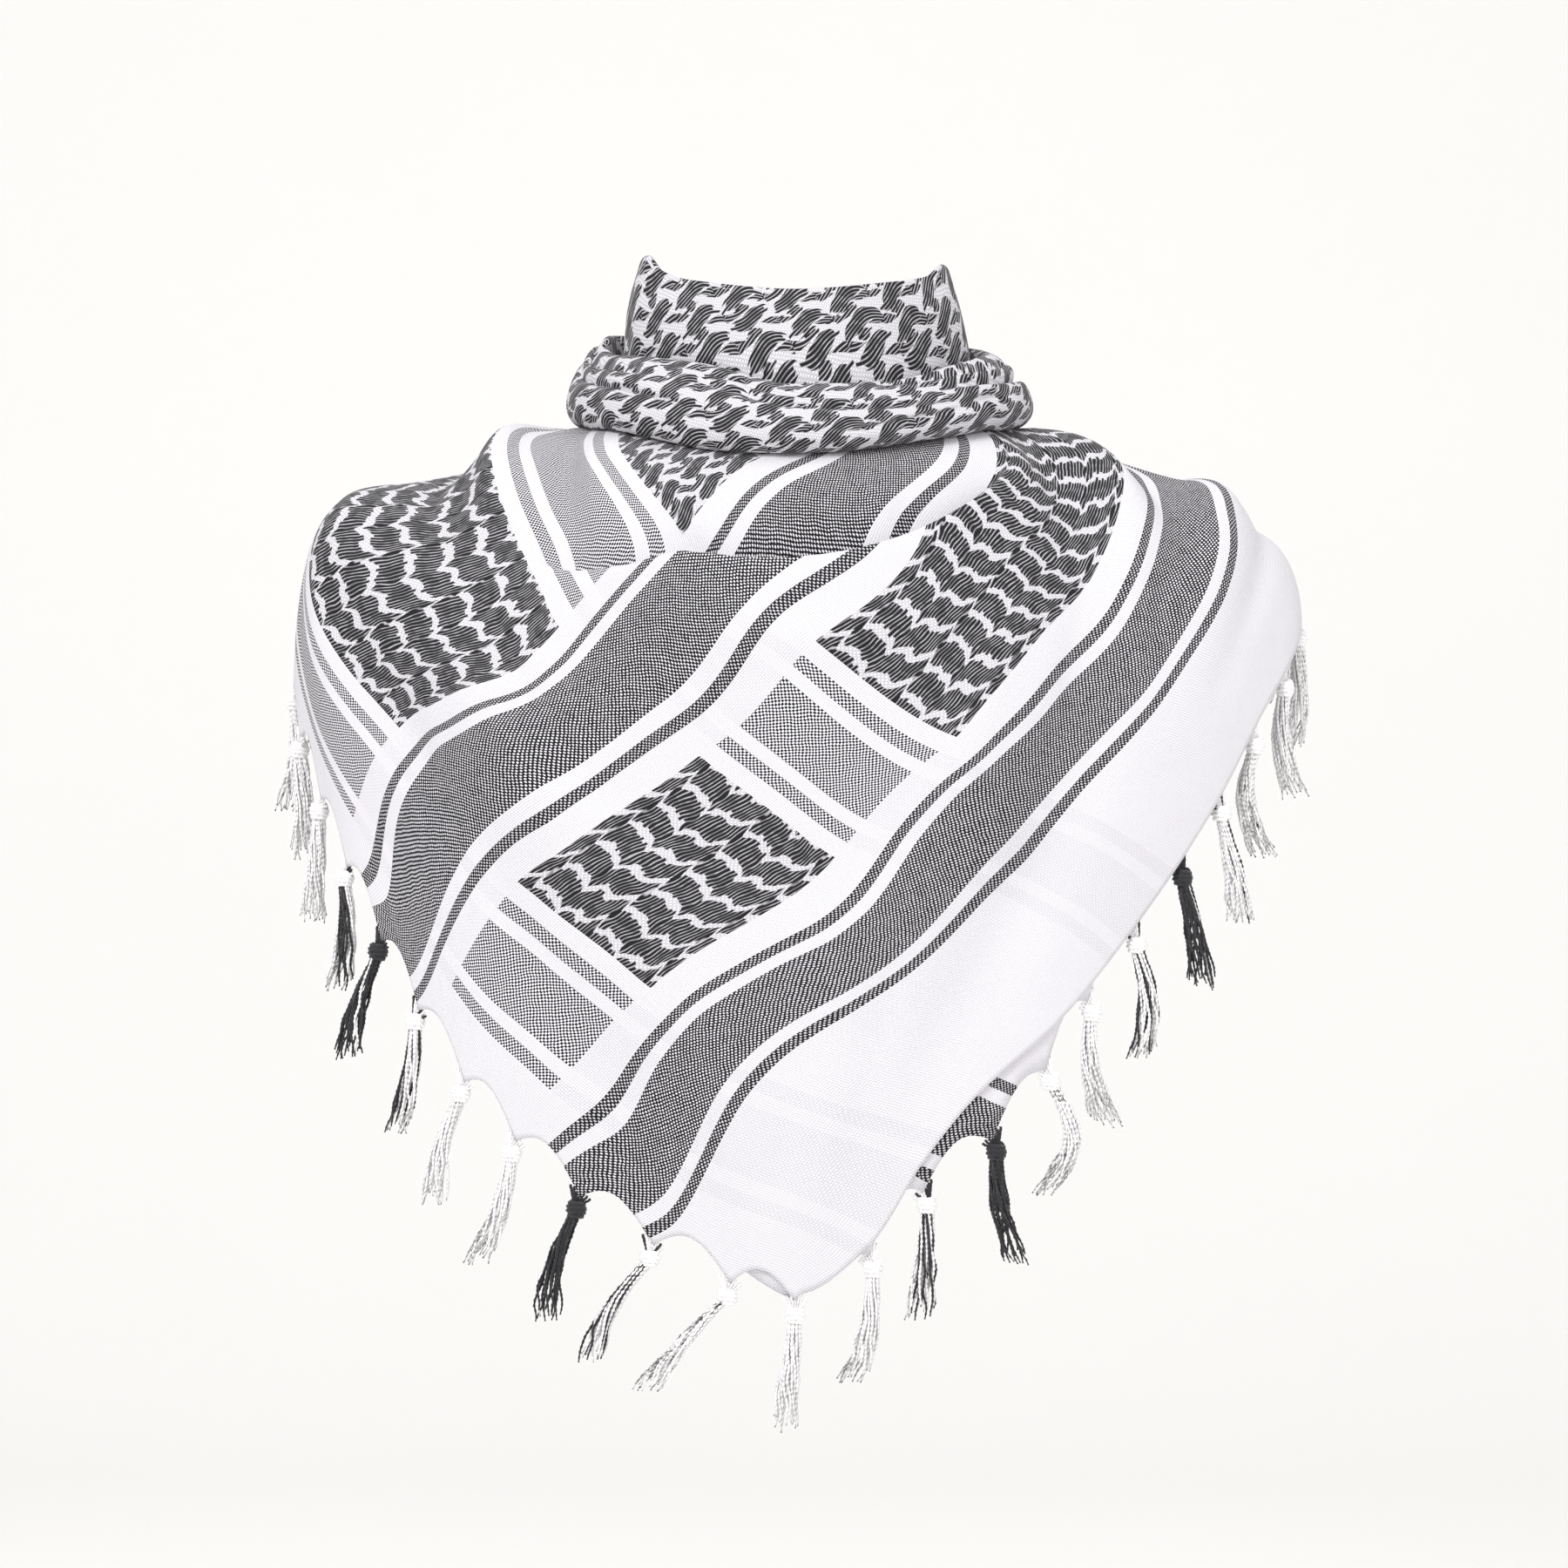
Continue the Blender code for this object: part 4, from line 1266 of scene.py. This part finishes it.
    def seen_at(self, pixel: Pair, points: Array, chart: Array, seen: Array) -> Array:
        """The flat place of the foremost cloth at a pixel.

        Args:
            pixel: across and down in the photograph.
            points: the layer's points.
            chart: where they lie on the flat chart.
            seen: their pixels.

        Returns:
            The place on the chart, between the points.
        """
        off = seen - np.array(pixel)
        near = np.hypot(off[..., 0], off[..., 1])
        close = near < max(self.near_pixels, 1.01 * near.min())
        depth = np.where(close, points[..., 1], FAR)
        r, c = np.unravel_index(np.argmin(depth), depth.shape)
        same = np.abs(points[..., 1] - points[r, c, 1]) < self.same_depth
        r, c = np.unravel_index(np.argmin(np.where(same, near, FAR)), near.shape)
        r = min(max(r, 1), points.shape[0] - 2)
        c = min(max(c, 1), points.shape[1] - 2)
        by_row = 0.5 * (seen[r + 1, c] - seen[r - 1, c])
        by_column = 0.5 * (seen[r, c + 1] - seen[r, c - 1])
        spread = np.stack((by_row, by_column), axis=1)
        steps = np.linalg.lstsq(spread, np.array(pixel) - seen[r, c], rcond=None)[0]
        steps = np.clip(steps, -self.furthest_step, self.furthest_step)
        row_step = 0.5 * (chart[r + 1, c] - chart[r - 1, c])
        column_step = 0.5 * (chart[r, c + 1] - chart[r, c - 1])
        return chart[r, c] + steps[0] * row_step + steps[1] * column_step

    def woven_places(self, side: Side) -> list[float]:
        """Where the knots sit along the cut edge of the flat cloth, which they draw up."""
        count = len(self.knots.along(side)[0])
        late = [self.first_places[-1] + self.place_step * k for k in range(1, count)]
        return (list(self.first_places) + late)[:count]

    def cloth_fields(self, points: Array, bearing: Array) -> tuple[ThinPlate, ThinPlate]:
        """Fits where each place of the drape lies on the flat square.

        Args:
            points: the top layer's points.
            bearing: their columns' bearings.

        Returns:
            The distances from the fringed edge and from the selvage, as fields over the flat chart.
        """
        chart = self.chart(points, bearing)
        seen = self.view.project(points)
        corner = (chart[-1, np.argmin(np.abs(bearing))], 0.0)
        from_fringe, from_selvage = (
            [(self.seen_at(p, points, chart, seen), line.at) for line in lines for p in line.pixels]
            + [corner]
            for lines in (ALONG_FRINGE, ALONG_SELVAGE)
        )
        for side in Side:
            places, distances = self.knots.along(side)
            if side is Side.LEFT:
                distances = self.woven_places(side)
            for place, distance in zip(places, distances):
                end = chart[-1, np.argmin(np.abs(bearing - place))]
                from_fringe.append((end, 0.0 if side is Side.LEFT else distance))
                from_selvage.append((end, distance if side is Side.LEFT else 0.0))
        fields = []
        for anchors in (from_fringe, from_selvage):
            places = np.array([anchor[0] for anchor in anchors])
            values = np.array([anchor[1] for anchor in anchors])
            fields.append(ThinPlate(places, values, self.field_slack))
        return fields[0], fields[1]

    def build(self, finish: bpy.types.Material) -> None:
        left = self.knots.along(Side.LEFT)[0]
        right = self.knots.along(Side.RIGHT)[0]
        bearing = self.bearings(self.columns, [0.0] + left + right)
        points = self.top_points(bearing)
        fringe_field, selvage_field = self.cloth_fields(points, bearing)
        chart = self.chart(closed_round(points), np.append(bearing, 180.0))
        cloth = np.stack((fringe_field.read(chart), selvage_field.read(chart)), axis=-1)
        top = ClothPiece("bib_top_layer", ("bib_top",), "bib_cloth", finish)
        top.declare(top.skin(points, cloth))

        bearing = self.bearings(self.under_columns, [0.0] + left + right)
        points = self.under_points(bearing)
        closed = np.append(bearing, 180.0)
        chart = self.chart(closed_round(points), closed)
        s, t = fringe_field.read(chart), selvage_field.read(chart)
        stops = np.array([0.0] + right)
        at_knots = [int(np.argmin(np.abs(closed - stop))) for stop in stops]
        off_s = s[-1, at_knots] - np.array([0.0] + self.woven_places(Side.RIGHT))
        s = s - np.where(closed < 0, s[-1], np.interp(closed, stops, off_s))
        t = t - np.where(closed > 0, np.interp(closed, stops, t[-1, at_knots]), 0.0)
        under = ClothPiece("bib_under_layer", ("bib_under",), "under_cloth", finish)
        piece = under.skin(points, np.stack((t, s), axis=-1))
        under.declare(piece)


@dataclass
class NeckWrap:
    """The wound part: a soft roll on the bib, and the standing collar inside it."""

    drape: Drape
    roll_columns: int = 320
    collar_columns: int = 320
    roll_seat: float = 0.0006
    star_pitch: Pair = (0.0225, 0.0185)
    roll_repeats: tuple[int, int] = (25, 23)
    roll_rise: Pair = (0.30, 1.12)
    collar_repeats: tuple[int, int] = (18, 18)
    collar_rise: Pair = (0.40, 0.88)
    collar_inner_z: float = 0.020
    collar_flare_z: float = 0.029
    collar_waist_z: float = 0.046
    collar_fold: float = 0.0034
    collar_seat: float = 0.0006
    collar_run: float = 0.55
    crease_fade: float = 9.0
    cloth_middle: float = 0.55
    roll_counts: tuple[int, ...] = (5, 5, 7, 8, 8, 8, 6, 5)
    collar_counts: tuple[int, ...] = (5, 6, 4, 4, 7, 8, 7, 6)

    def ring(self, bearing: Array, reach: Array, height: Array) -> Array:
        """Points at a distance from the neck's middle."""
        angle = np.radians(bearing)
        return np.stack(np.broadcast_arrays(reach * np.sin(angle), -reach * np.cos(angle), height), axis=-1)

    def rest_height(self, bearing: Array, reach: Array) -> Array:
        """Height of the bib's outer face at a distance from the neck's middle."""
        low = np.zeros_like(bearing)
        high = np.full_like(bearing, 2.0)
        for _ in range(24):
            middle = 0.5 * (low + high)
            place = self.drape.lying(bearing, middle)
            inside = np.hypot(place[..., 0], place[..., 1]) < reach
            low, high = np.where(inside, middle, low), np.where(inside, high, middle)
        return self.drape.lying(bearing, low)[..., 2]

    def slanted(
        self, points: Array, bearing: Array, repeats: tuple[int, int], rise: Pair
    ) -> Array:
        """Cloth places with the square's sides slanting across the neck.

        Args:
            points: rows of points, with the first column again at the end.
            bearing: the columns' bearings.
            repeats: whole repeats of the stars along both sides in one turn, so that the turn closes.
            rise: how fast the places along both sides change up the cloth.

        Returns:
            Places on the flat square.
        """
        gone = lengths_down(points)
        round_share = bearing[None, :] / 360.0
        up = -gone.mean(axis=1, keepdims=True)
        s = round_share * repeats[0] * self.star_pitch[0] + up * rise[0]
        t = up * rise[1] - round_share * repeats[1] * self.star_pitch[1]
        return np.stack((s + self.cloth_middle, t + self.cloth_middle), axis=-1)

    def roll_points(self, bearing: Array) -> Array:
        """The roll's section, swept round the neck, with its creases."""
        inner = ring_values(ROLL, "inner", bearing)
        width = ring_values(ROLL, "reach", bearing) - inner
        top = ring_values(ROLL, "top_z", bearing)
        bottom = np.full_like(bearing, -1.0)
        for across, up in ROLL_SECTION[-3:]:
            rest = self.rest_height(bearing, inner + width * across) + self.roll_seat
            bottom = np.maximum(bottom, (rest - up * top) / (1.0 - up))
        stations = np.stack([
            np.stack((inner + width * across, bottom + (top - bottom) * up)) for across, up in ROLL_SECTION
        ])
        counts = self.roll_counts
        rows = spline_rows(stations, counts)
        stop = np.repeat(np.arange(len(counts)), counts) + np.concatenate([np.arange(n) / n for n in counts])
        stop = np.append(stop, len(counts))[:, None]
        dent = self.creased(bearing[None, :], stop)
        middle = rows.mean(axis=0)
        spoke = rows - middle
        length = np.maximum(np.hypot(spoke[:, 0], spoke[:, 1]), 0.001)
        rows = rows + spoke / length[:, None] * dent[:, None]
        return self.ring(bearing[None, :], rows[:, 0], rows[:, 1])

    def creased(self, bearing: Array, stop: Array) -> Array:
        """How far the roll's creases press in, by bearing and by stop along its section."""
        total = np.zeros(np.broadcast(bearing, stop).shape)
        for crease in ROLL_CREASES:
            run = crease.end[0] - crease.start[0]
            share = np.clip((bearing - crease.start[0]) / run, 0.0, 1.0)
            off_end = np.abs(bearing - crease.start[0] - share * run) / self.crease_fade
            line = crease.start[1] + (crease.end[1] - crease.start[1]) * share
            depth = crease.height * swell(share)
            total += depth * np.exp(-(((stop - line) / crease.width) ** 2) - off_end**2)
        return total

    def collar_points(self, bearing: Array) -> Array:
        """The collar's section, swept round the neck."""
        rim = ring_values(COLLAR, "rim_reach", bearing)
        waist = ring_values(COLLAR, "waist_reach", bearing)
        flare = ring_values(COLLAR, "flare_reach", bearing)
        top = ring_values(COLLAR, "rim_z", bearing)
        nothing = 0.0 * rim
        foot = self.drape.body(bearing, nothing)
        foot_reach = np.hypot(foot[..., 0], foot[..., 1])
        foot_z = foot[..., 2] + self.collar_seat
        stations = (
            (waist - self.collar_fold, self.collar_inner_z + nothing),
            (waist - self.collar_fold, self.collar_waist_z - 0.010 + nothing),
            (rim - self.collar_fold, top - 0.005),
            (rim - 0.5 * self.collar_fold, top),
            (rim, top - 0.004),
            (waist, 0.5 * (top + self.collar_waist_z) - 0.008),
            (flare, self.collar_flare_z + nothing),
            (
                flare + self.collar_run * (foot_reach - flare),
                self.collar_flare_z + self.collar_run * (foot_z - self.collar_flare_z),
            ),
            (foot_reach, foot_z),
        )
        rows = spline_rows(np.stack([np.stack(station) for station in stations]), self.collar_counts)
        return self.ring(bearing[None, :], rows[:, 0], rows[:, 1])

    def build(self, finish: bpy.types.Material) -> None:
        pieces = (
            ("wrap_roll", "neck_roll", self.roll_columns, self.roll_points,
             self.roll_repeats, self.roll_rise, (0.64, 0.075)),
            ("wrap_collar", "neck_collar", self.collar_columns, self.collar_points,
             self.collar_repeats, self.collar_rise, (0.47, 0.125)),
        )
        for name, node, count, form, repeats, rise, flat in pieces:
            bearing = np.linspace(-180.0, 180.0, count + 1)
            points = form(bearing[:-1])
            cloth = self.slanted(closed_round(points), bearing, repeats, rise)
            piece = ClothPiece(name, (node,), "wrap_cloth", finish)
            piece.declare(piece.skin(points, cloth))


class YarnTree:
    """The node tree that spins guide lines into yarns with a lobed, turning section."""

    def __init__(self) -> None:
        """Builds the tree with its named inputs."""
        self.tree = bpy.data.node_groups.new("spun_yarn", "GeometryNodeTree")
        face = self.tree.interface
        face.new_socket("Geometry", in_out="INPUT", socket_type="NodeSocketGeometry")
        self._input("Radius", "NodeSocketFloat", 0.00088)
        self._input("Lobes", "NodeSocketInt", 3)
        self._input("Lobe depth", "NodeSocketFloat", 0.72)
        self._input("Turns per metre", "NodeSocketFloat", 180.0)
        self._input("Dark share", "NodeSocketFloat", 0.0)
        self._input("Seed", "NodeSocketInt", 7)
        self._input("Yarn", "NodeSocketMaterial", None)
        face.new_socket("Geometry", in_out="OUTPUT", socket_type="NodeSocketGeometry")
        self._wire()

    def _input(self, name: str, kind: str, value: Union[float, int, None]) -> None:
        """Adds a named input."""
        socket = self.tree.interface.new_socket(name, in_out="INPUT", socket_type=kind)
        if value is not None:
            socket.default_value = value

    def _node(self, kind: str, settings: dict, inputs: dict) -> bpy.types.Node:
        """Adds a node, with its settings first and then its inputs."""
        made = self.tree.nodes.new(kind)
        for name, value in settings.items():
            setattr(made, name, value)
        for key, value in inputs.items():
            if isinstance(value, bpy.types.NodeSocket):
                self.tree.links.new(value, made.inputs[key])
            else:
                made.inputs[key].default_value = value
        return made

    def _wire(self) -> None:
        """Adds the nodes."""
        source = self.tree.nodes.new("NodeGroupInput").outputs
        lines = self._node("GeometryNodeMeshToCurve", {}, {"Mesh": source["Geometry"]})
        thick = self._node("GeometryNodeInputNamedAttribute", {"data_type": "FLOAT"}, {"Name": "thickness"})
        sized = self._node(
            "ShaderNodeMath", {"operation": "MULTIPLY"}, {0: thick.outputs["Attribute"], 1: source["Radius"]}
        )
        radius = self._node(
            "GeometryNodeSetCurveRadius", {}, {"Curve": lines.outputs[0], "Radius": sized.outputs[0]}
        )
        length = self._node("GeometryNodeSplineParameter", {}, {})
        turns = self._node(
            "ShaderNodeMath", {"operation": "MULTIPLY"},
            {0: length.outputs["Length"], 1: source["Turns per metre"]},
        )
        angle = self._node("ShaderNodeMath", {"operation": "MULTIPLY"}, {0: turns.outputs[0], 1: 2 * math.pi})
        turned = self._node(
            "GeometryNodeSetCurveTilt", {}, {"Curve": radius.outputs[0], "Tilt": angle.outputs[0]}
        )
        chance = self._node(
            "FunctionNodeRandomValue", {"data_type": "BOOLEAN"},
            {"Probability": source["Dark share"], "Seed": source["Seed"]},
        )
        tinted = self._node(
            "GeometryNodeStoreNamedAttribute", {"data_type": "FLOAT", "domain": "CURVE"},
            {"Geometry": turned.outputs[0], "Name": SpunYarn.tint_name, "Value": chance.outputs[3]},
        )
        section = self._node(
            "GeometryNodeCurveStar", {},
            {"Points": source["Lobes"], "Inner Radius": source["Lobe depth"], "Outer Radius": 1.0},
        )
        inputs = {"Curve": tinted.outputs[0], "Profile Curve": section.outputs[0], "Fill Caps": True}
        tube = self._node("GeometryNodeCurveToMesh", {}, inputs)
        if "Scale" in tube.inputs:
            grown = self._node("GeometryNodeInputRadius", {}, {})
            self.tree.links.new(grown.outputs[0], tube.inputs["Scale"])
        smooth = self._node("GeometryNodeSetShadeSmooth", {}, {"Geometry": tube.outputs[0]})
        real = self._node("GeometryNodeRealizeInstances", {}, {"Geometry": smooth.outputs[0]})
        done = self._node(
            "GeometryNodeSetMaterial", {}, {"Geometry": real.outputs[0], "Material": source["Yarn"]}
        )
        end = self.tree.nodes.new("NodeGroupOutput")
        self.tree.links.new(done.outputs[0], end.inputs[0])

    def spin(self, name: str, guides: bpy.types.Mesh, values: dict[str, object]) -> bpy.types.Object:
        """Spins guide lines into one plain mesh.

        Args:
            name: the new piece.
            guides: a mesh of lines with a thickness on each point.
            values: the tree's inputs, by name.

        Returns:
            The piece, with no modifier left on it.
        """
        carrier = add_object(name + "_guides", guides)
        spinning = carrier.modifiers.new("Spun yarn", "NODES")
        spinning.node_group = self.tree
        for item in self.tree.interface.items_tree:
            if item.item_type == "SOCKET" and item.in_out == "INPUT" and item.name in values:
                spinning[item.identifier] = values[item.name]
        deps = bpy.context.evaluated_depsgraph_get()
        mesh = bpy.data.meshes.new_from_object(carrier.evaluated_get(deps))
        mesh.name = name
        bpy.data.objects.remove(carrier, do_unlink=True)
        return add_object(name, mesh)


DARK_SHARES = {Yarn.WHITE: 0.0, Yarn.MIXED: 0.36, Yarn.BLACK: 0.95}


@dataclass
class Fringe:
    """The tassels: knots on the cut edges, each with a bunch of loose yarns."""

    drape: Drape
    knots: Knots
    cloth: float = 0.0012
    seam: float = 0.0003
    knot_radius: float = 0.0036
    knot_height: float = 0.0085
    length: float = 0.060
    strands: int = 17
    strand_steps: int = 22
    spread: float = 0.0064
    seed: int = 20
    black_orders: tuple[int, ...] = (3, 7)
    mixed_orders: tuple[int, ...] = (2, 6, 8)
    wrap_turns: float = 4.2
    wrap_points: int = 64
    gather_points: int = 8

    def yarn_of(self, order: int) -> Yarn:
        """The yarn of a knot by its place from the corner: the grey bands end in black yarn."""
        if order in self.black_orders:
            return Yarn.BLACK
        return Yarn.MIXED if order in self.mixed_orders else Yarn.WHITE

    def lean_of(self, side: Side, order: int) -> Lean:
        """How a tassel hangs; the hidden ones hang nearly straight."""
        leans = LEFT_LEANS if side is Side.LEFT else RIGHT_LEANS
        if order == 0:
            return CORNER_LEAN
        if order <= len(leans):
            return leans[order - 1]
        return Lean(0.06 * math.sin(2.1 * order), 0.04 * math.cos(1.7 * order))

    def hang(self, side: Side, bearing: float) -> tuple[Array, Array, Array]:
        """Where a knot sits: its place, the way out of the edge and the way along it."""
        def edge(at: float) -> Array:
            """A place on the cut edge."""
            place = np.array(at)
            if side is Side.LEFT:
                return self.drape.lying(place, self.drape.hem(place))
            return self.drape.under(place, self.drape.hem(place, self.drape.droop_depth))

        along = edge(bearing + 2) - edge(bearing - 2)
        level = self.drape.level_at(np.array(bearing), edge(bearing)[2])
        normal = self.drape.out(self.drape.body, np.array(bearing), level)
        out = unit(np.cross(along, normal))
        lower = self.drape.body(np.array(bearing), level + 0.2) - self.drape.body(np.array(bearing), level)
        if out @ lower < 0:
            out = -out
        place = edge(bearing) - normal * (0.5 * self.cloth) + out * (self.seam + 0.8 * self.knot_radius)
        return place + np.array((0.0, 0.0, 0.3 * self.knot_radius)), out, unit(along)

    @staticmethod
    def ripple(share: Array, form: Callable[[Array], Array], rng: np.random.Generator) -> Array:
        """A small wave that grows down a yarn.

        Args:
            share: how far down the yarn each point is.
            form: the sine or the cosine.
            rng: the seeded source of the wave's height, length and start, drawn in that order.

        Returns:
            How far each point is moved.
        """
        height = rng.uniform(0.0004, 0.0011)
        angle = share * rng.uniform(8.0, 20.0) + rng.uniform(0, 6.28)
        return height * form(angle) * share

    def bunch(self, lean: Lean, rng: np.random.Generator) -> list[tuple[Array, Array]]:
        """The loose yarns of one tassel, in its own frame.

        Args:
            lean: how it hangs.
            rng: the seeded source of its small differences.

        Returns:
            Points and thicknesses, one pair for each yarn.
        """
        yarns = []
        longest = self.length - self.knot_height
        for k in range(self.strands):
            angle = 2 * math.pi * (k + rng.uniform(-0.3, 0.3)) / self.strands
            ring = self.spread * (0.35 + 0.65 * math.sqrt(rng.uniform(0.05, 1.0)))
            reach = longest * rng.uniform(0.86, 1.0)
            share = np.linspace(0.0, 1.0, self.strand_steps)
            drop = reach * share
            open_up = 0.42 + 0.58 * share**1.3
            wave = self.ripple(share, np.sin, rng)
            wisp = self.ripple(share, np.cos, rng)
            turn = angle + 1.6 * share
            bend = lean.curl * longest * np.sin(math.pi * np.minimum(drop / longest, 1.0))
            x = ring * open_up * np.cos(turn) + lean.sideways * drop + bend + wave
            y = ring * open_up * np.sin(turn) + wisp
            z = -0.55 * self.knot_height - drop / math.hypot(1.0, lean.sideways)
            yarns.append((np.stack((x, y, z), axis=1), 1.0 - 0.45 * share**6))
        return yarns

    def wrap(self) -> list[tuple[Array, Array]]:
        """The yarn wound round the knot."""
        share = np.linspace(0.0, 1.0, self.wrap_points)
        turn = 2 * math.pi * self.wrap_turns * share
        radius = self.knot_radius * (0.62 + 0.38 * np.sin(math.pi * share))
        z = -0.08 * self.knot_height - 0.80 * self.knot_height * share
        line = np.stack((radius * np.cos(turn), radius * np.sin(turn), z), axis=1)
        return [(line, np.full(self.wrap_points, 1.7))]

    def gather(self, out: Array, along: Array) -> list[tuple[Array, Array]]:
        """The warp ends drawn together from the cloth's edge into the knot."""
        ends = []
        for k in range(-3, 4):
            share = np.linspace(0.0, 1.0, self.gather_points)[:, None]
            start = along * (0.0019 * k) - out * (0.0045 - 0.00035 * abs(k)) + np.array((0, 0, 0.0008))
            finish = along * (0.0005 * k) + np.array((0.0, 0.0, -0.002))
            ends.append((start * (1 - share) + finish * share, np.full(self.gather_points, 0.9)))
        return ends

    def build(self, finishes: dict[Yarn, bpy.types.Material], tree: YarnTree) -> None:
        """Makes one piece of each yarn, for all the tassels that use it."""
        rng = np.random.default_rng(self.seed)
        spots = [("tassel_corner", Side.LEFT, 0, 0.0)]
        for side, word in ((Side.LEFT, "left"), (Side.RIGHT, "right")):
            for order, bearing in enumerate(self.knots.along(side)[0], 1):
                spots.append((f"tassel_{word}_{order:02d}", side, order, bearing))
        for yarn in Yarn:
            lines: list[tuple[Array, Array]] = []
            nodes = []
            for node, side, order, bearing in spots:
                if self.yarn_of(order) is not yarn:
                    continue
                place, out, along = self.hang(side, bearing)
                parts = self.bunch(self.lean_of(side, order), rng) + self.wrap() + self.gather(out, along)
                lines += [(points + place, thickness) for points, thickness in parts]
                nodes.append(node)
            guides = self.guides(lines)
            values = {"Dark share": DARK_SHARES[yarn], "Yarn": finishes[yarn]}
            piece = tree.spin(yarn.value + "_tassels", guides, values)
            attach(piece, "root")
            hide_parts(*nodes)
            report(piece)

    def guides(self, lines: Sequence[tuple[Array, Array]]) -> bpy.types.Mesh:
        """A mesh of loose lines with a thickness on each point."""
        points = np.concatenate([line[0] for line in lines])
        edges = []
        start = 0
        for line, _ in lines:
            edges += [(start + k, start + k + 1) for k in range(len(line) - 1)]
            start += len(line)
        mesh = bpy.data.meshes.new("yarn_guides")
        mesh.from_pydata(points.tolist(), edges, [])
        thickness = mesh.attributes.new("thickness", "FLOAT", "POINT")
        thickness.data.foreach_set("value", np.concatenate([line[1] for line in lines]).astype(np.float32))
        return mesh


@dataclass
class Studio:
    """A pale sweep of paper, soft lights and the camera of the photograph."""

    view: View
    floor_z: float = -0.80
    width: float = 9.0
    depth: float = 3.2
    wall: float = 3.5
    corner: float = 1.0
    corner_steps: int = 12
    front: float = -4.0
    sky: Colour = (1.0, 0.995, 0.985, 1.0)
    sky_strength: float = 0.73

    def backdrop(self) -> None:
        """The floor, which curves up behind into a wall."""
        profile = [(self.front, self.floor_z), (self.depth - self.corner, self.floor_z)]
        for k in range(1, self.corner_steps + 1):
            angle = 0.5 * math.pi * k / self.corner_steps
            profile.append((self.depth - self.corner + self.corner * math.sin(angle),
                            self.floor_z + self.corner * (1 - math.cos(angle))))
        profile.append((self.depth, self.wall))
        points = [(x, y, z) for y, z in profile for x in (-0.5 * self.width, 0.5 * self.width)]
        faces = [(2 * k, 2 * k + 1, 2 * k + 3, 2 * k + 2) for k in range(len(profile) - 1)]
        mesh = bpy.data.meshes.new("paper_sweep")
        mesh.from_pydata(points, [], faces)
        mesh.shade_smooth()
        mesh.materials.append(StudioPaper().build())
        add_object("paper_sweep", mesh)

    def lamp(self, name: str, place: tuple[float, float, float], size: float, power: float) -> None:
        """A soft square light that faces the cloth."""
        data = bpy.data.lights.new(name, "AREA")
        data.size = size
        data.energy = power
        light = add_object(name, data)
        light.location = place
        away = light.location.copy()
        away.z -= self.view.z
        light.rotation_euler = away.to_track_quat("Z", "Y").to_euler()

    def camera(self) -> None:
        """The camera at the photograph's place and frame."""
        data = bpy.data.cameras.new("photo_camera")
        data.sensor_fit = "HORIZONTAL"
        data.angle = 2 * math.atan(self.view.middle * self.view.pixel / self.view.distance)
        data.clip_end = 50.0
        camera = add_object("photo_camera", data)
        camera.location = (self.view.x, -self.view.distance, self.view.z)
        camera.rotation_euler = (0.5 * math.pi, 0.0, 0.0)
        bpy.context.scene.camera = camera

    def build(self) -> None:
        """Makes the studio."""
        self.backdrop()
        self.lamp("key", (-1.1, -1.9, 1.5), 1.1, 47.0)
        self.lamp("fill", (1.7, -1.7, 0.5), 1.6, 17.0)
        self.lamp("top", (0.1, -0.2, 1.9), 1.4, 12.0)
        world = bpy.context.scene.world or bpy.data.worlds.new("studio")
        bpy.context.scene.world = world
        world.use_nodes = True
        background = world.node_tree.nodes["Background"]
        background.inputs["Color"].default_value = self.sky
        background.inputs["Strength"].default_value = self.sky_strength
        bpy.context.scene.view_settings.view_transform = "Standard"
        self.camera()


def main() -> None:
    """Builds the scarf piece by piece, then the studio."""
    logging.basicConfig(level=logging.INFO, format="%(name)s %(message)s")
    drape = Drape()
    knots = Knots(drape)
    view = View()
    whole = WovenCotton("patterned_cotton", Pattern.WHOLE_SQUARE).build()
    stars = WovenCotton("star_cotton", Pattern.STAR_FIELD).build()
    Bib(drape, knots, view).build(whole)
    NeckWrap(drape).build(stars)
    finishes = {yarn: SpunYarn(yarn).build() for yarn in Yarn}
    Fringe(drape, knots).build(finishes, YarnTree())
    Studio(view).build()


if __name__ == "__main__":
    main()
